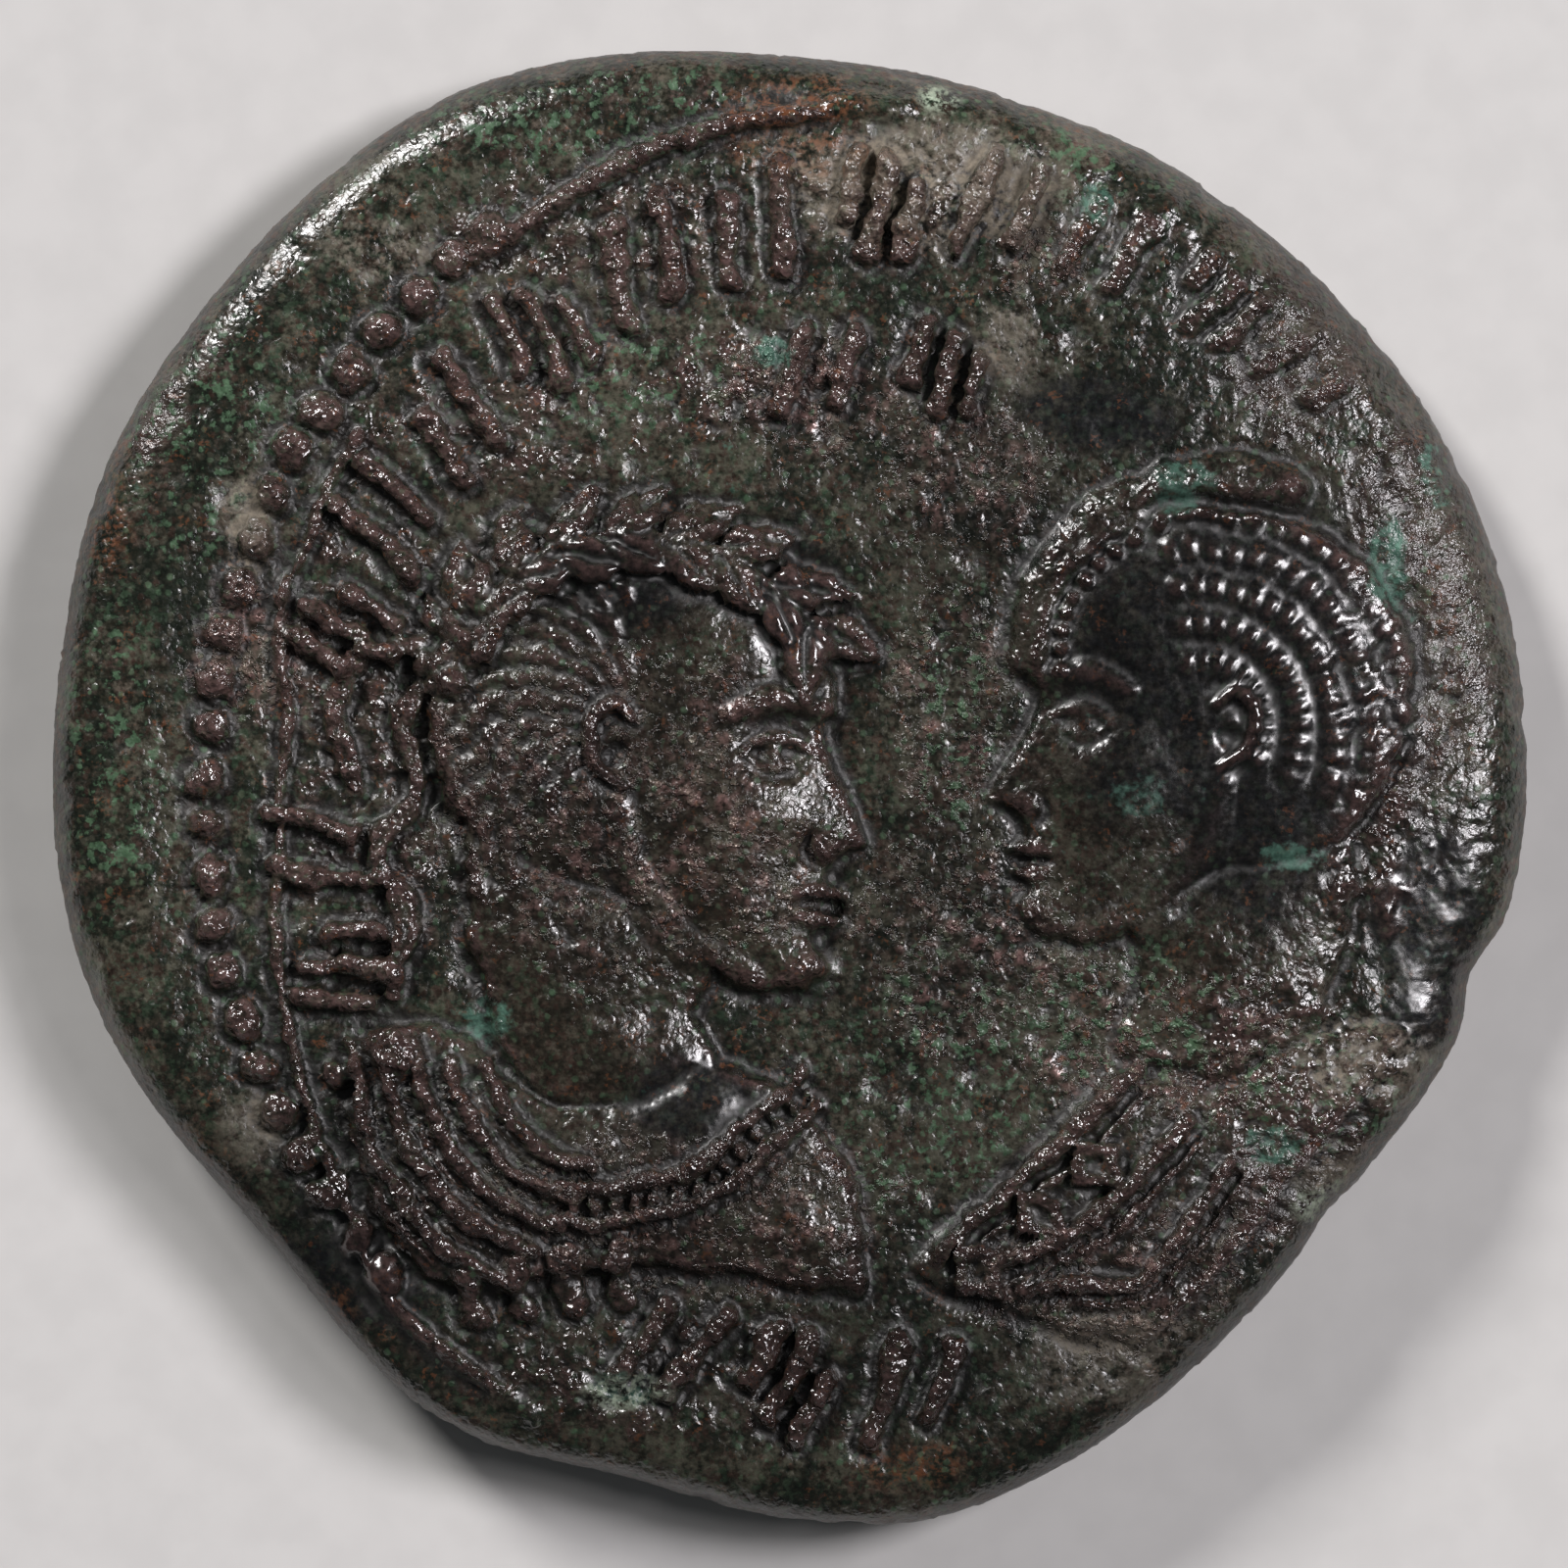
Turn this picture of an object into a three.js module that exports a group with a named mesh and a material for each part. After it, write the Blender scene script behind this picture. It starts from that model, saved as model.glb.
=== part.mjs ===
import * as THREE from 'three';

// Struck bronze coin lying on its reverse with the obverse up.
// Millimetres, +Z up, origin under the middle of the flan on the plane it rests on.

const coin = {
  radius: 13.3, // mean radius of the flan
  obverseField: 2.72, // height of the obverse field at the middle
  obverseDome: 0.34, // how far the obverse field falls towards the rim
  domePower: 4, // the field is flat over the middle and falls near the rim
  reverseField: 0.5, // height of the reverse field above the resting plane
  colour: '#46433a',
  roughness: 0.42,
  metalness: 0.4,
};

// The stretch of the obverse that falls away further.
const thinner = { at: 12, halfWidth: 42, amount: 0.5 };

// The hammered outline: each swell or flat is a soft lobe added to the mean radius.
const outlineLobes = [
  { name: 'top left swell', at: 117, halfWidth: 21, amount: 0.86 },
  { name: 'left upper swell', at: 151, halfWidth: 18, amount: 0.5 },
  { name: 'left swell', at: 184, halfWidth: 20, amount: 0.14 },
  { name: 'lower left flat', at: 220, halfWidth: 17, amount: -0.72 },
  { name: 'bottom left flat', at: 257, halfWidth: 10, amount: -0.42 },
  { name: 'bottom swell', at: 281, halfWidth: 11, amount: 0.26 },
  { name: 'lower right flat', at: 321, halfWidth: 21, amount: -0.74 },
  { name: 'lower right nick', at: 322, halfWidth: 2.6, amount: -0.1 },
  { name: 'right nick', at: 345, halfWidth: 3.4, amount: -0.3 },
  { name: 'right swell', at: 22, halfWidth: 34, amount: 0.32 },
];

const edge = {
  obverseRound: 1.05, // radial width of the rounding on the obverse side
  reverseRound: 0.95,
  widestAt: 1.5, // height of the widest line of the edge
  fullness: 2.3, // exponent of the rounding, higher is squarer
  leanAt: 35, // direction of the stretch whose wall leans out towards the reverse
  leanHalfWidth: 48,
  leanDrop: 0.6, // how much lower the widest line runs there
  leanFullness: -0.5,
};

// The obverse die was struck off centre, so its border runs off the flan on the right.
const die = { x: 2.3, y: -0.12 };
const beadBorder = { radius: 12.95, from: 127, to: 222, pitch: 3.95, size: 0.42, height: 0.25 };
const lineBorder = { radius: 12.7, from: 91, to: 129, pieces: 30, halfWidth: 0.26, height: 0.22 };
const innerLine = {
  path: [
    [-7.9, 6.5], [-8.75, 4.6], [-9.35, 2.8], [-9.15, 1.4], [-9.4, -1.2],
    [-9.25, -3.6], [-8.75, -5.9], [-7.9, -8.2], [-6.5, -10.0], [-4.6, -11.4],
  ],
  halfWidth: 0.2,
  height: 0.17,
};
const outerMargin = { from: 13.5, to: 14.3, height: 0.1 };

// The worn legend is rows of shallow parallel strokes that lean the same way.
const legend = {
  radius: 10.9,
  pitch: 11.7,
  arcs: [[47, 165], [185, 209], [246, 270]],
  tall: 2.1,
  wide: 1.9,
  stroke: 0.27,
  height: 0.27,
  faintUntil: 78,
  faintShare: 0.45,
};
const upperRow = { x: 0.5, y: 7.75, pitch: 2.35, count: 2, tall: 1.7, wide: 1.9, stroke: 0.26, height: 0.26 };
const strokeGroups = [ // middle, foot and top of each stroke, as shares of the width and height
  [[-0.24, -0.42, 0.4], [0.26, -0.3, 0.42]],
  [[-0.3, -0.1, 0.42], [0.02, -0.42, 0.3], [0.34, -0.42, 0.05]],
  [[-0.26, -0.42, 0.2], [0.24, -0.42, 0.42]],
];
const strokeLean = 0.3;

const leftHead = { x: -2.7, y: 0.86, size: 8.9, facing: 1, tilt: -3 };
const rightHead = { x: 7.6, y: 1.2, size: 8.3, facing: -1, tilt: 2 };
const headRelief = { step: 0.2, dome: 0.42, domeWidth: 2.3 };
const neckRelief = { step: 0.14, dome: 0.3, domeWidth: 1.9 };
const bustRelief = { step: 0.18, dome: 0.26, domeWidth: 1.6 };
const bodyStep = 0.3; // how far inside its outline a raised body reaches its step
const rightWear = 0.62; // share of the relief left on the smoother right-hand bust

// Outlines below the heads.
const leftNeck = [
  [-5.9, -0.4], [-6.0, -2.2], [-5.7, -4.0], [-4.6, -5.8],
  [-2.6, -6.0], [-1.0, -5.2], [-1.7, -4.0], [-1.0, -2.8],
];
const leftBust = [
  [-1.4, -4.8], [0.4, -5.7], [1.25, -7.0], [1.5, -8.3], [1.35, -9.25], [-1.2, -8.85], [-3.6, -8.9],
  [-5.4, -9.3], [-6.7, -8.9], [-7.8, -7.4], [-8.2, -5.9], [-7.9, -4.4], [-6.3, -4.1], [-4.2, -5.6],
];
const rightNeck = [
  [5.9, -2.2], [6.3, -3.4], [5.9, -4.8], [7.4, -5.2], [9.6, -4.6], [10.2, -2.8], [10.3, -0.8],
];
const rightBust = [
  [2.2, -8.65], [4.1, -6.75], [6.0, -4.95], [7.4, -5.3], [9.6, -4.3], [11.4, -4.4],
  [12.4, -6.6], [10.6, -9.0], [7.6, -10.3], [5.2, -9.9], [3.5, -9.35],
];

// A plain classical head in profile, facing +X, one unit from chin to crown.
const headProfile = [
  [0.02, 0.5], [0.22, 0.455], [0.35, 0.345], [0.395, 0.215], [0.405, 0.1], [0.388, 0.045],
  [0.42, -0.04], [0.468, -0.135], [0.482, -0.18], [0.42, -0.222], [0.41, -0.25], [0.43, -0.283],
  [0.408, -0.312], [0.42, -0.342], [0.388, -0.378], [0.4, -0.435], [0.355, -0.492], [0.24, -0.5],
  [0.08, -0.43], [-0.04, -0.34], [-0.2, -0.32], [-0.36, -0.2], [-0.455, 0.02], [-0.44, 0.22],
  [-0.33, 0.4], [-0.16, 0.48],
];
const faceBumps = [
  { name: 'cheek', at: [0.2, -0.14], reach: 0.16, height: 0.1 },
  { name: 'eye socket', at: [0.27, 0.005], reach: 0.085, height: -0.13 },
  { name: 'eyeball', at: [0.275, 0.0], reach: 0.042, height: 0.13 },
  { name: 'wing of the nose', at: [0.395, -0.185], reach: 0.045, height: 0.12 },
  { name: 'chin', at: [0.35, -0.435], reach: 0.075, height: 0.12 },
  { name: 'hollow of the ear', at: [-0.05, -0.02], reach: 0.035, height: -0.1 },
];
const faceLines = [
  { name: 'upper lid', path: [[0.21, 0.0], [0.27, 0.035], [0.345, 0.01]], halfWidth: 0.02, height: 0.09 },
  {
    name: 'lower lid',
    path: [[0.21, -0.005], [0.27, -0.035], [0.335, -0.01]],
    halfWidth: 0.016,
    height: 0.06,
  },
  { name: 'brow', path: [[0.17, 0.07], [0.27, 0.11], [0.385, 0.085]], halfWidth: 0.038, height: 0.12 },
  {
    name: 'crease beside the nose',
    path: [[0.355, -0.17], [0.345, -0.205], [0.37, -0.23]],
    halfWidth: 0.018,
    height: -0.07,
  },
  { name: 'mouth', path: [[0.33, -0.31], [0.37, -0.307], [0.42, -0.312]], halfWidth: 0.016, height: -0.12 },
  {
    name: 'upper lip',
    path: [[0.33, -0.285], [0.38, -0.278], [0.425, -0.288]],
    halfWidth: 0.024,
    height: 0.07,
  },
  {
    name: 'lower lip',
    path: [[0.34, -0.335], [0.375, -0.342], [0.415, -0.34]],
    halfWidth: 0.026,
    height: 0.08,
  },
  {
    name: 'jaw',
    path: [[0.26, -0.47], [0.1, -0.4], [-0.01, -0.26], [-0.04, -0.12]],
    halfWidth: 0.05,
    height: 0.1,
  },
  {
    name: 'ear',
    path: [[-0.02, 0.05], [-0.06, 0.08], [-0.105, 0.04], [-0.09, -0.04], [-0.03, -0.09]],
    halfWidth: 0.026,
    height: 0.16,
  },
];

const wreath = { // in head units, from the tie at the nape to above the forehead
  path: [[-0.4, 0.1], [-0.36, 0.24], [-0.24, 0.37], [-0.06, 0.425], [0.12, 0.405], [0.27, 0.33], [0.37, 0.2]],
  pairs: 9,
  firstPair: 0.3, // how far along its space each pair of leaves grows
  leafLong: 1.6,
  leafWide: 0.46,
  leafWidest: 0.8, // exponents: where a leaf is widest and how blunt its ends are
  leafEnds: 0.4,
  splay: 30,
  height: 0.28,
};
const berries = { at: [[-5.95, 2.75], [-6.65, 2.35], [-6.15, 2.0]], size: 0.42, height: 0.34 };
const ribbons = [
  [[-6.1, 2.4], [-7.1, 1.4], [-6.8, 0.1], [-7.5, -1.1], [-6.9, -2.3], [-7.3, -3.5]],
  [[-6.4, 2.7], [-7.8, 2.4], [-8.3, 1.2], [-7.9, 0.2]],
];
const ribbonRelief = { halfWidth: 0.32, height: 0.26 };
const shortHair = { // radii in head units
  middle: { x: -0.03, y: 0.04 },
  rings: 4,
  first: 0.12,
  step: 0.088,
  start: 95,
  end: 228,
  locks: [5, 7, 8, 10], // on each ring
  lockReach: 0.9, // share of the step between rings
  lockTurn: 11,
  halfWidth: 0.25,
  height: 0.08,
};

const shoulderFolds = {
  x: -3.4,
  y: -4.7,
  radius: 2.1,
  step: 0.62,
  count: 5,
  from: 186,
  to: 262,
  fromShift: -2, // each next fold starts and ends this many degrees on
  toShift: -3,
  pieces: 12,
  halfWidth: 0.27,
  height: 0.24,
};
const collar = {
  x: -3.6,
  y: -2.9,
  radius: 4.3,
  step: 0.62,
  count: 2,
  from: 262,
  to: 330,
  toShift: -4,
  pieces: 12,
  halfWidth: 0.22,
  height: 0.2,
};
const lappets = {
  x: -5.9,
  y: -8.75,
  pitch: 0.92,
  rise: 0.12,
  count: 4,
  long: 0.85,
  slant: 0.16,
  halfWidth: 0.34,
  height: 0.2,
};
const brooch = { x: -7.2, y: -4.75, size: 0.62, height: 0.3 };

const diadem = { // in head units
  path: [[0.4, 0.14], [0.375, 0.3], [0.25, 0.45], [0.05, 0.535], [-0.16, 0.53]],
  halfWidth: 0.5,
  height: 0.24,
  beads: 13,
  beadSize: 0.17,
  beadHeight: 0.12,
  beadInset: 0.62,
};
const wavyHair = { // radii in head units
  middle: { x: 0.02, y: 0 },
  waves: 5,
  first: 0.14,
  step: 0.083,
  from: 80,
  to: 205,
  pieces: 14,
  halfWidth: 0.26,
  height: 0.11,
};
const mantleFolds = {
  from: [2.75, -8.5],
  to: [6.4, -5.1],
  count: 3,
  gap: 1.15,
  footRise: 0.35, // share of the gap the lower ends keep in height
  sag: 0.18, // share of the gap the middles hang lower
  halfWidth: 0.27,
  height: 0.22,
};
const mantleLozenges = { from: [3.5, -8.8], to: [5.6, -6.8], count: 3, size: 0.62, height: 0.2 };

// Reverse: a worn standing figure between two short legends, inside a broad rim worn flat.
const rim = { middle: 0.885, halfWidth: 0.1, height: 1.1 }; // as shares of the flan's radius
const reverseDie = { x: -0.5, y: 0.35 };
const figure = {
  head: [[-0.95, 6.4], [-0.85, 7.4], [0, 7.9], [0.9, 7.35], [0.9, 6.5], [0.4, 5.6], [-0.45, 5.6]],
  neck: [[-0.6, 6.2], [-0.7, 4.8], [0.7, 4.8], [0.6, 6.2]],
  relief: { step: 0.2, dome: 0.38, domeWidth: 0.85 },
  headShare: 0.9, // share of the relief left on the head and the neck
  neckShare: 0.7,
  body: [
    [-1.7, 4.9], [-1.75, 2.9], [-1.35, 0.9], [-1.9, -2.6], [-2.5, -6.6],
    [2.3, -6.6], [2.0, -2.8], [1.4, 0.9], [1.8, 2.9], [1.7, 4.9],
  ],
  arms: [[[1.5, 4.4], [3.0, 2.9], [4.6, 3.6]], [[-1.5, 4.3], [-3.0, 3.1], [-3.8, 4.9]]],
  armHalfWidth: 0.55,
  armHeight: 0.36,
  staff: { x: -3.9, from: -6.5, to: 7.6, halfWidth: 0.27, height: 0.27 },
  bowl: { x: 5.0, y: 3.7, size: 0.85, height: 0.32 },
  folds: {
    count: 4,
    spread: 0.75,
    flare: 1.7,
    top: -1.2,
    arch: 0.4,
    bottom: -6.3,
    halfWidth: 0.34,
    depth: -0.34,
  },
  mantle: {
    paths: [[[-1.5, 4.4], [-0.3, 3.2], [1.4, 3.1]], [[-1.5, 3.15], [-0.3, 1.95], [1.4, 2.35]]],
    halfWidth: 0.3,
    depth: -0.32,
  },
  ground: { y: -7.3, reach: 6.0, halfWidth: 0.24, height: 0.28 },
};
const reverseLegend = {
  radius: 8.3,
  pitch: 16,
  arcs: [[-40, 40], [140, 220]],
  tall: 1.7,
  wide: 1.3,
  stroke: 0.3,
  height: 0.23,
};

// Exponents of the cross-section of ridges and bumps: the higher, the softer the foot.
const softFoot = 1.5;
const fullFoot = 0.9;
const spanPoints = { body: 5, face: 3, cloth: 5, wreath: 8 }; // points on each span of a curve

const obverseTriangles = 6000;
const reverseTriangles = 1900;
const ringVertices = 128;
const trialPoints = 60000; // spots on each face where the surface may take a vertex
const trialReach = 0.985; // they stay this share of the way out to the face's boundary
const seedSpacing = 310; // every this many trial points one is a vertex from the start
const goldenAngle = 180 * (3 - Math.sqrt(5));
const headFocus = 2.2; // the heads are fitted this many times closer than the rest
const focusReach = 0.57; // how far round its middle, in head sizes
const obverseRings = [0.42, 0.7, 0.9];
const reverseRings = [0.9, 0.66, 0.36];

const degrees = Math.PI / 180;

const clamp = (value, low, high) => Math.min(high, Math.max(low, value));

function smoothStep(from, to, value) {
  const t = clamp((value - from) / (to - from), 0, 1);
  return t * t * (3 - 2 * t);
}

// A soft bump on the circle, with all angles in degrees.
function lobe(angle, at, halfWidth) {
  const away = ((angle - at + 540) % 360 + 360) % 360 - 180;
  return Math.exp(-((away / halfWidth) ** 2));
}

function flanRadius(angle) {
  const shape = (sum, swell) => sum + swell.amount * lobe(angle, swell.at, swell.halfWidth);
  return outlineLobes.reduce(shape, coin.radius);
}

const angleOf = (x, y) => Math.atan2(y, x) / degrees;

const polar = (centre, radius, angle) => [
  centre.x + radius * Math.cos(angle * degrees),
  centre.y + radius * Math.sin(angle * degrees),
];

// Catmull-Rom curve through a few control points.
function curve(points, closed, perSpan) {
  const vectors = points.map(([x, y]) => new THREE.Vector3(x, y, 0));
  const spline = new THREE.CatmullRomCurve3(vectors, closed, 'centripetal');
  return spline.getPoints(perSpan * points.length).map((point) => [point.x, point.y]);
}

function distanceToSegment(x, y, a, b) {
  const dx = b[0] - a[0];
  const dy = b[1] - a[1];
  const t = clamp(((x - a[0]) * dx + (y - a[1]) * dy) / (dx * dx + dy * dy), 0, 1);
  return Math.hypot(x - a[0] - t * dx, y - a[1] - t * dy);
}

function boxOf(points, margin) {
  const xs = points.map((point) => point[0]);
  const ys = points.map((point) => point[1]);
  return [
    Math.min(...xs) - margin,
    Math.min(...ys) - margin,
    Math.max(...xs) + margin,
    Math.max(...ys) + margin,
  ];
}

// Relief forms. Each has a box and a rule that takes the height so far and returns the new one.

// A raised body with a crisp step at its outline and a dome inside it.
function body(points, relief, share = 1) {
  const outline = curve(points, true, spanPoints.body);
  const insideDepth = (x, y) => {
    let inside = false;
    let nearest = Infinity;
    for (let i = 0; i < outline.length - 1; i += 1) {
      const a = outline[i];
      const b = outline[i + 1];
      nearest = Math.min(nearest, distanceToSegment(x, y, a, b));
      const crosses = (a[1] > y) !== (b[1] > y);
      if (crosses && x < a[0] + ((y - a[1]) * (b[0] - a[0])) / (b[1] - a[1])) {
        inside = !inside;
      }
    }
    return inside ? nearest : 0;
  };
  return {
    box: boxOf(outline, 0),
    apply(height, x, y) {
      const depth = insideDepth(x, y);
      const step = relief.step * smoothStep(0, bodyStep, depth);
      const dome = relief.dome * Math.sin(clamp(depth / relief.domeWidth, 0, 1) * 90 * degrees);
      return Math.max(height, share * (step + dome));
    },
  };
}

// A rounded ridge or groove along a path.
function line(points, halfWidth, height, share = 1, power = softFoot) {
  return {
    box: boxOf(points, halfWidth),
    apply(before, x, y) {
      let nearest = Infinity;
      for (let i = 0; i < points.length - 1; i += 1) {
        nearest = Math.min(nearest, distanceToSegment(x, y, points[i], points[i + 1]));
      }
      const across = clamp(nearest / halfWidth, 0, 1);
      return before + share * height * (1 - across * across) ** power;
    },
  };
}

function bump([x0, y0], reach, height, share = 1, power = softFoot) {
  return {
    box: [x0 - reach, y0 - reach, x0 + reach, y0 + reach],
    apply(before, x, y) {
      const away = clamp(Math.hypot(x - x0, y - y0) / reach, 0, 1);
      return before + share * height * (1 - away * away) ** power;
    },
  };
}

// A pointed leaf growing from its foot in the given direction.
function leaf([x0, y0], direction, length, halfWidth, height) {
  const ux = Math.cos(direction * degrees);
  const uy = Math.sin(direction * degrees);
  const reach = length + halfWidth;
  return {
    box: [x0 - reach, y0 - reach, x0 + reach, y0 + reach],
    apply(before, x, y) {
      const along = ((x - x0) * ux + (y - y0) * uy) / length;
      if (along <= 0 || along >= 1) {
        return before;
      }
      const across = Math.abs((y - y0) * ux - (x - x0) * uy);
      const width = halfWidth * Math.sin(Math.PI * along ** wreath.leafWidest);
      if (across >= width) {
        return before;
      }
      const crown = Math.sqrt(1 - (across / width) ** 2);
      return before + height * crown * Math.sin(Math.PI * along) ** wreath.leafEnds;
    },
  };
}

const inBox = (box, x, y) => x >= box[0] && y >= box[1] && x <= box[2] && y <= box[3];

// Raised forms lying side by side or across each other: only the tallest counts at each spot.
function bundle(forms) {
  const corners = forms.flatMap(({ box }) => [[box[0], box[1]], [box[2], box[3]]]);
  return {
    box: boxOf(corners, 0),
    apply(before, x, y) {
      const tallest = forms.reduce((most, form) => (
        inBox(form.box, x, y) ? Math.max(most, form.apply(0, x, y)) : most
      ), 0);
      return before + tallest;
    },
  };
}

function arc(centre, radius, from, to, pieces) {
  const points = [];
  for (let i = 0; i <= pieces; i += 1) {
    points.push(polar(centre, radius, from + ((to - from) * i) / pieces));
  }
  return points;
}

// From head units to the flan.
function placer(head) {
  const cos = Math.cos(head.tilt * degrees);
  const sin = Math.sin(head.tilt * degrees);
  return ([x, y]) => [
    head.x + head.size * head.facing * (x * cos - y * sin),
    head.y + head.size * (x * sin + y * cos),
  ];
}

function headForms(head, share) {
  const place = placer(head);
  const path = (item) => curve(item.path.map(place), false, spanPoints.face);
  return [
    body(headProfile.map(place), headRelief, share),
    ...faceBumps.map((item) => bump(place(item.at), item.reach * head.size, item.height, share)),
    ...faceLines.map((item) => line(path(item), item.halfWidth * head.size, item.height, share)),
  ];
}

// One group of legend strokes, which lean the same way and never cross.
function strokeForms(x, y, turn, index, row, share) {
  const cos = Math.cos(turn * degrees);
  const sin = Math.sin(turn * degrees);
  const place = (u, v) => [
    x + u * row.wide * cos - v * row.tall * sin,
    y + u * row.wide * sin + v * row.tall * cos,
  ];
  return strokeGroups[index % strokeGroups.length].map(([middle, foot, top]) => {
    const ends = [foot, top].map((v) => place(middle + strokeLean * v, v));
    return line(ends, row.stroke, row.height, share, fullFoot);
  });
}

function legendForms(centre, row, shareAt) {
  const forms = [];
  row.arcs.forEach(([from, to]) => {
    const count = Math.floor((to - from) / row.pitch);
    for (let i = 0; i <= count; i += 1) {
      const angle = from + i * row.pitch;
      const [x, y] = polar(centre, row.radius, angle);
      forms.push(...strokeForms(x, y, angle - 90, i, row, shareAt(angle)));
    }
  });
  return forms;
}

function borderForms() {
  const outer = arc(die, lineBorder.radius, lineBorder.from, lineBorder.to, lineBorder.pieces);
  const inner = curve(innerLine.path, false, spanPoints.cloth);
  const forms = [
    line(outer, lineBorder.halfWidth, lineBorder.height),
    line(inner, innerLine.halfWidth, innerLine.height),
  ];
  for (let angle = beadBorder.from; angle < beadBorder.to; angle += beadBorder.pitch) {
    const at = polar(die, beadBorder.radius, angle);
    forms.push(bump(at, beadBorder.size, beadBorder.height, 1, fullFoot));
  }
  return forms;
}

function wreathForms(place, head) {
  const path = curve(wreath.path.map(place), false, spanPoints.wreath);
  const forms = [];
  for (let i = 0; i < wreath.pairs; i += 1) {
    const at = Math.round(((i + wreath.firstPair) / wreath.pairs) * (path.length - 2));
    const foot = path[at];
    const next = path[at + 1];
    const heading = Math.atan2(next[1] - foot[1], next[0] - foot[0]) / degrees;
    [-1, 1].forEach((side) => forms.push(leaf(
      foot,
      heading + side * wreath.splay * head.facing,
      wreath.leafLong,
      wreath.leafWide,
      wreath.height,
    )));
  }
  return forms;
}

// Short locks in rings around the crown of the laureate head.
function shortHairForms(place) {
  const { middle, step, start, end } = shortHair;
  const forms = [];
  for (let ring = 0; ring < shortHair.rings; ring += 1) {
    const radius = shortHair.first + ring * step;
    const locks = shortHair.locks[ring];
    for (let i = 0; i < locks; i += 1) {
      const angle = start + ((end - start) * (i + 0.5 * (ring % 2))) / locks; // every other ring is staggered
      const foot = polar(middle, radius, angle);
      const tip = polar(middle, radius + step * shortHair.lockReach, angle + shortHair.lockTurn);
      forms.push(line([place(foot), place(tip)], shortHair.halfWidth, shortHair.height));
    }
  }
  return forms;
}

// Waves running back from the face to the nape of the diademed head.
function wavyHairForms(place) {
  const forms = [];
  for (let wave = 0; wave < wavyHair.waves; wave += 1) {
    const radius = wavyHair.first + wave * wavyHair.step;
    const points = arc(wavyHair.middle, radius, wavyHair.from, wavyHair.to, wavyHair.pieces);
    forms.push(line(points.map(place), wavyHair.halfWidth, wavyHair.height));
  }
  return forms;
}

function diademForms(place) {
  const path = curve(diadem.path.map(place), false, spanPoints.cloth);
  const forms = [line(path, diadem.halfWidth, diadem.height)];
  for (let i = 0; i < diadem.beads; i += 1) {
    const [x, y] = path[Math.round((i / (diadem.beads - 1)) * (path.length - 1))];
    const inward = Math.atan2(rightHead.y - y, rightHead.x - x) / degrees;
    const at = polar({ x, y }, diadem.beadInset, inward);
    forms.push(bump(at, diadem.beadSize, diadem.beadHeight, 1, fullFoot));
  }
  return forms;
}

// Evenly spaced arcs, each turned a little from the one inside it.
function foldArcs(fold, fromShift, toShift) {
  const forms = [];
  for (let i = 0; i < fold.count; i += 1) {
    const radius = fold.radius + i * fold.step;
    const path = arc(fold, radius, fold.from + i * fromShift, fold.to + i * toShift, fold.pieces);
    forms.push(line(path, fold.halfWidth, fold.height));
  }
  return forms;
}

function leftDressForms() {
  const forms = [
    ...foldArcs(shoulderFolds, shoulderFolds.fromShift, shoulderFolds.toShift),
    ...foldArcs(collar, 0, collar.toShift),
  ];
  for (let i = 0; i < lappets.count; i += 1) {
    const x = lappets.x + i * lappets.pitch;
    const y = lappets.y + i * lappets.rise;
    const path = [[x, y], [x + lappets.slant, y - lappets.long]];
    forms.push(line(path, lappets.halfWidth, lappets.height, 1, fullFoot));
  }
  forms.push(bump([brooch.x, brooch.y], brooch.size, brooch.height));
  return forms;
}

function rightDressForms() {
  const forms = [];
  const [ax, ay] = mantleFolds.from;
  const [bx, by] = mantleFolds.to;
  const length = Math.hypot(bx - ax, by - ay);
  const normal = [(by - ay) / length, (ax - bx) / length];
  for (let i = 0; i < mantleFolds.count; i += 1) {
    const shift = i * mantleFolds.gap;
    const low = shift * (1 + mantleFolds.sag);
    const points = curve([
      [ax + normal[0] * shift, ay + normal[1] * shift * mantleFolds.footRise],
      [(ax + bx) / 2 + normal[0] * low, (ay + by) / 2 + normal[1] * low],
      [bx + normal[0] * shift, by + normal[1] * shift],
    ], false, spanPoints.cloth);
    forms.push(line(points, mantleFolds.halfWidth, mantleFolds.height));
  }
  for (let i = 0; i < mantleLozenges.count; i += 1) {
    const t = i / (mantleLozenges.count - 1);
    const x = mantleLozenges.from[0] + t * (mantleLozenges.to[0] - mantleLozenges.from[0]);
    const y = mantleLozenges.from[1] + t * (mantleLozenges.to[1] - mantleLozenges.from[1]);
    forms.push(bump([x, y], mantleLozenges.size, mantleLozenges.height));
  }
  return forms;
}

function obverseForms() {
  const ribbonPath = (path) => curve(path, false, spanPoints.cloth);
  const legendShare = (angle) => (angle < legend.faintUntil ? legend.faintShare : 1);
  const left = placer(leftHead);
  const right = placer(rightHead);
  const signs = legendForms(die, legend, legendShare);
  for (let i = 0; i < upperRow.count; i += 1) {
    signs.push(...strokeForms(upperRow.x + i * upperRow.pitch, upperRow.y, 0, i, upperRow, 1));
  }
  return [
    bundle([...borderForms(), ...signs]),
    body(rightNeck, neckRelief, rightWear),
    body(rightBust, bustRelief, rightWear),
    ...headForms(rightHead, rightWear),
    bundle([...diademForms(right), ...wavyHairForms(right)]),
    bundle(rightDressForms()),
    body(leftNeck, neckRelief),
    body(leftBust, bustRelief),
    ...headForms(leftHead, 1),
    bundle([
      ...shortHairForms(left),
      ...wreathForms(left, leftHead),
      ...ribbons.map((path) => line(ribbonPath(path), ribbonRelief.halfWidth, ribbonRelief.height)),
      ...berries.at.map((at) => bump(at, berries.size, berries.height)),
    ]),
    bundle(leftDressForms()),
  ];
}

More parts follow.
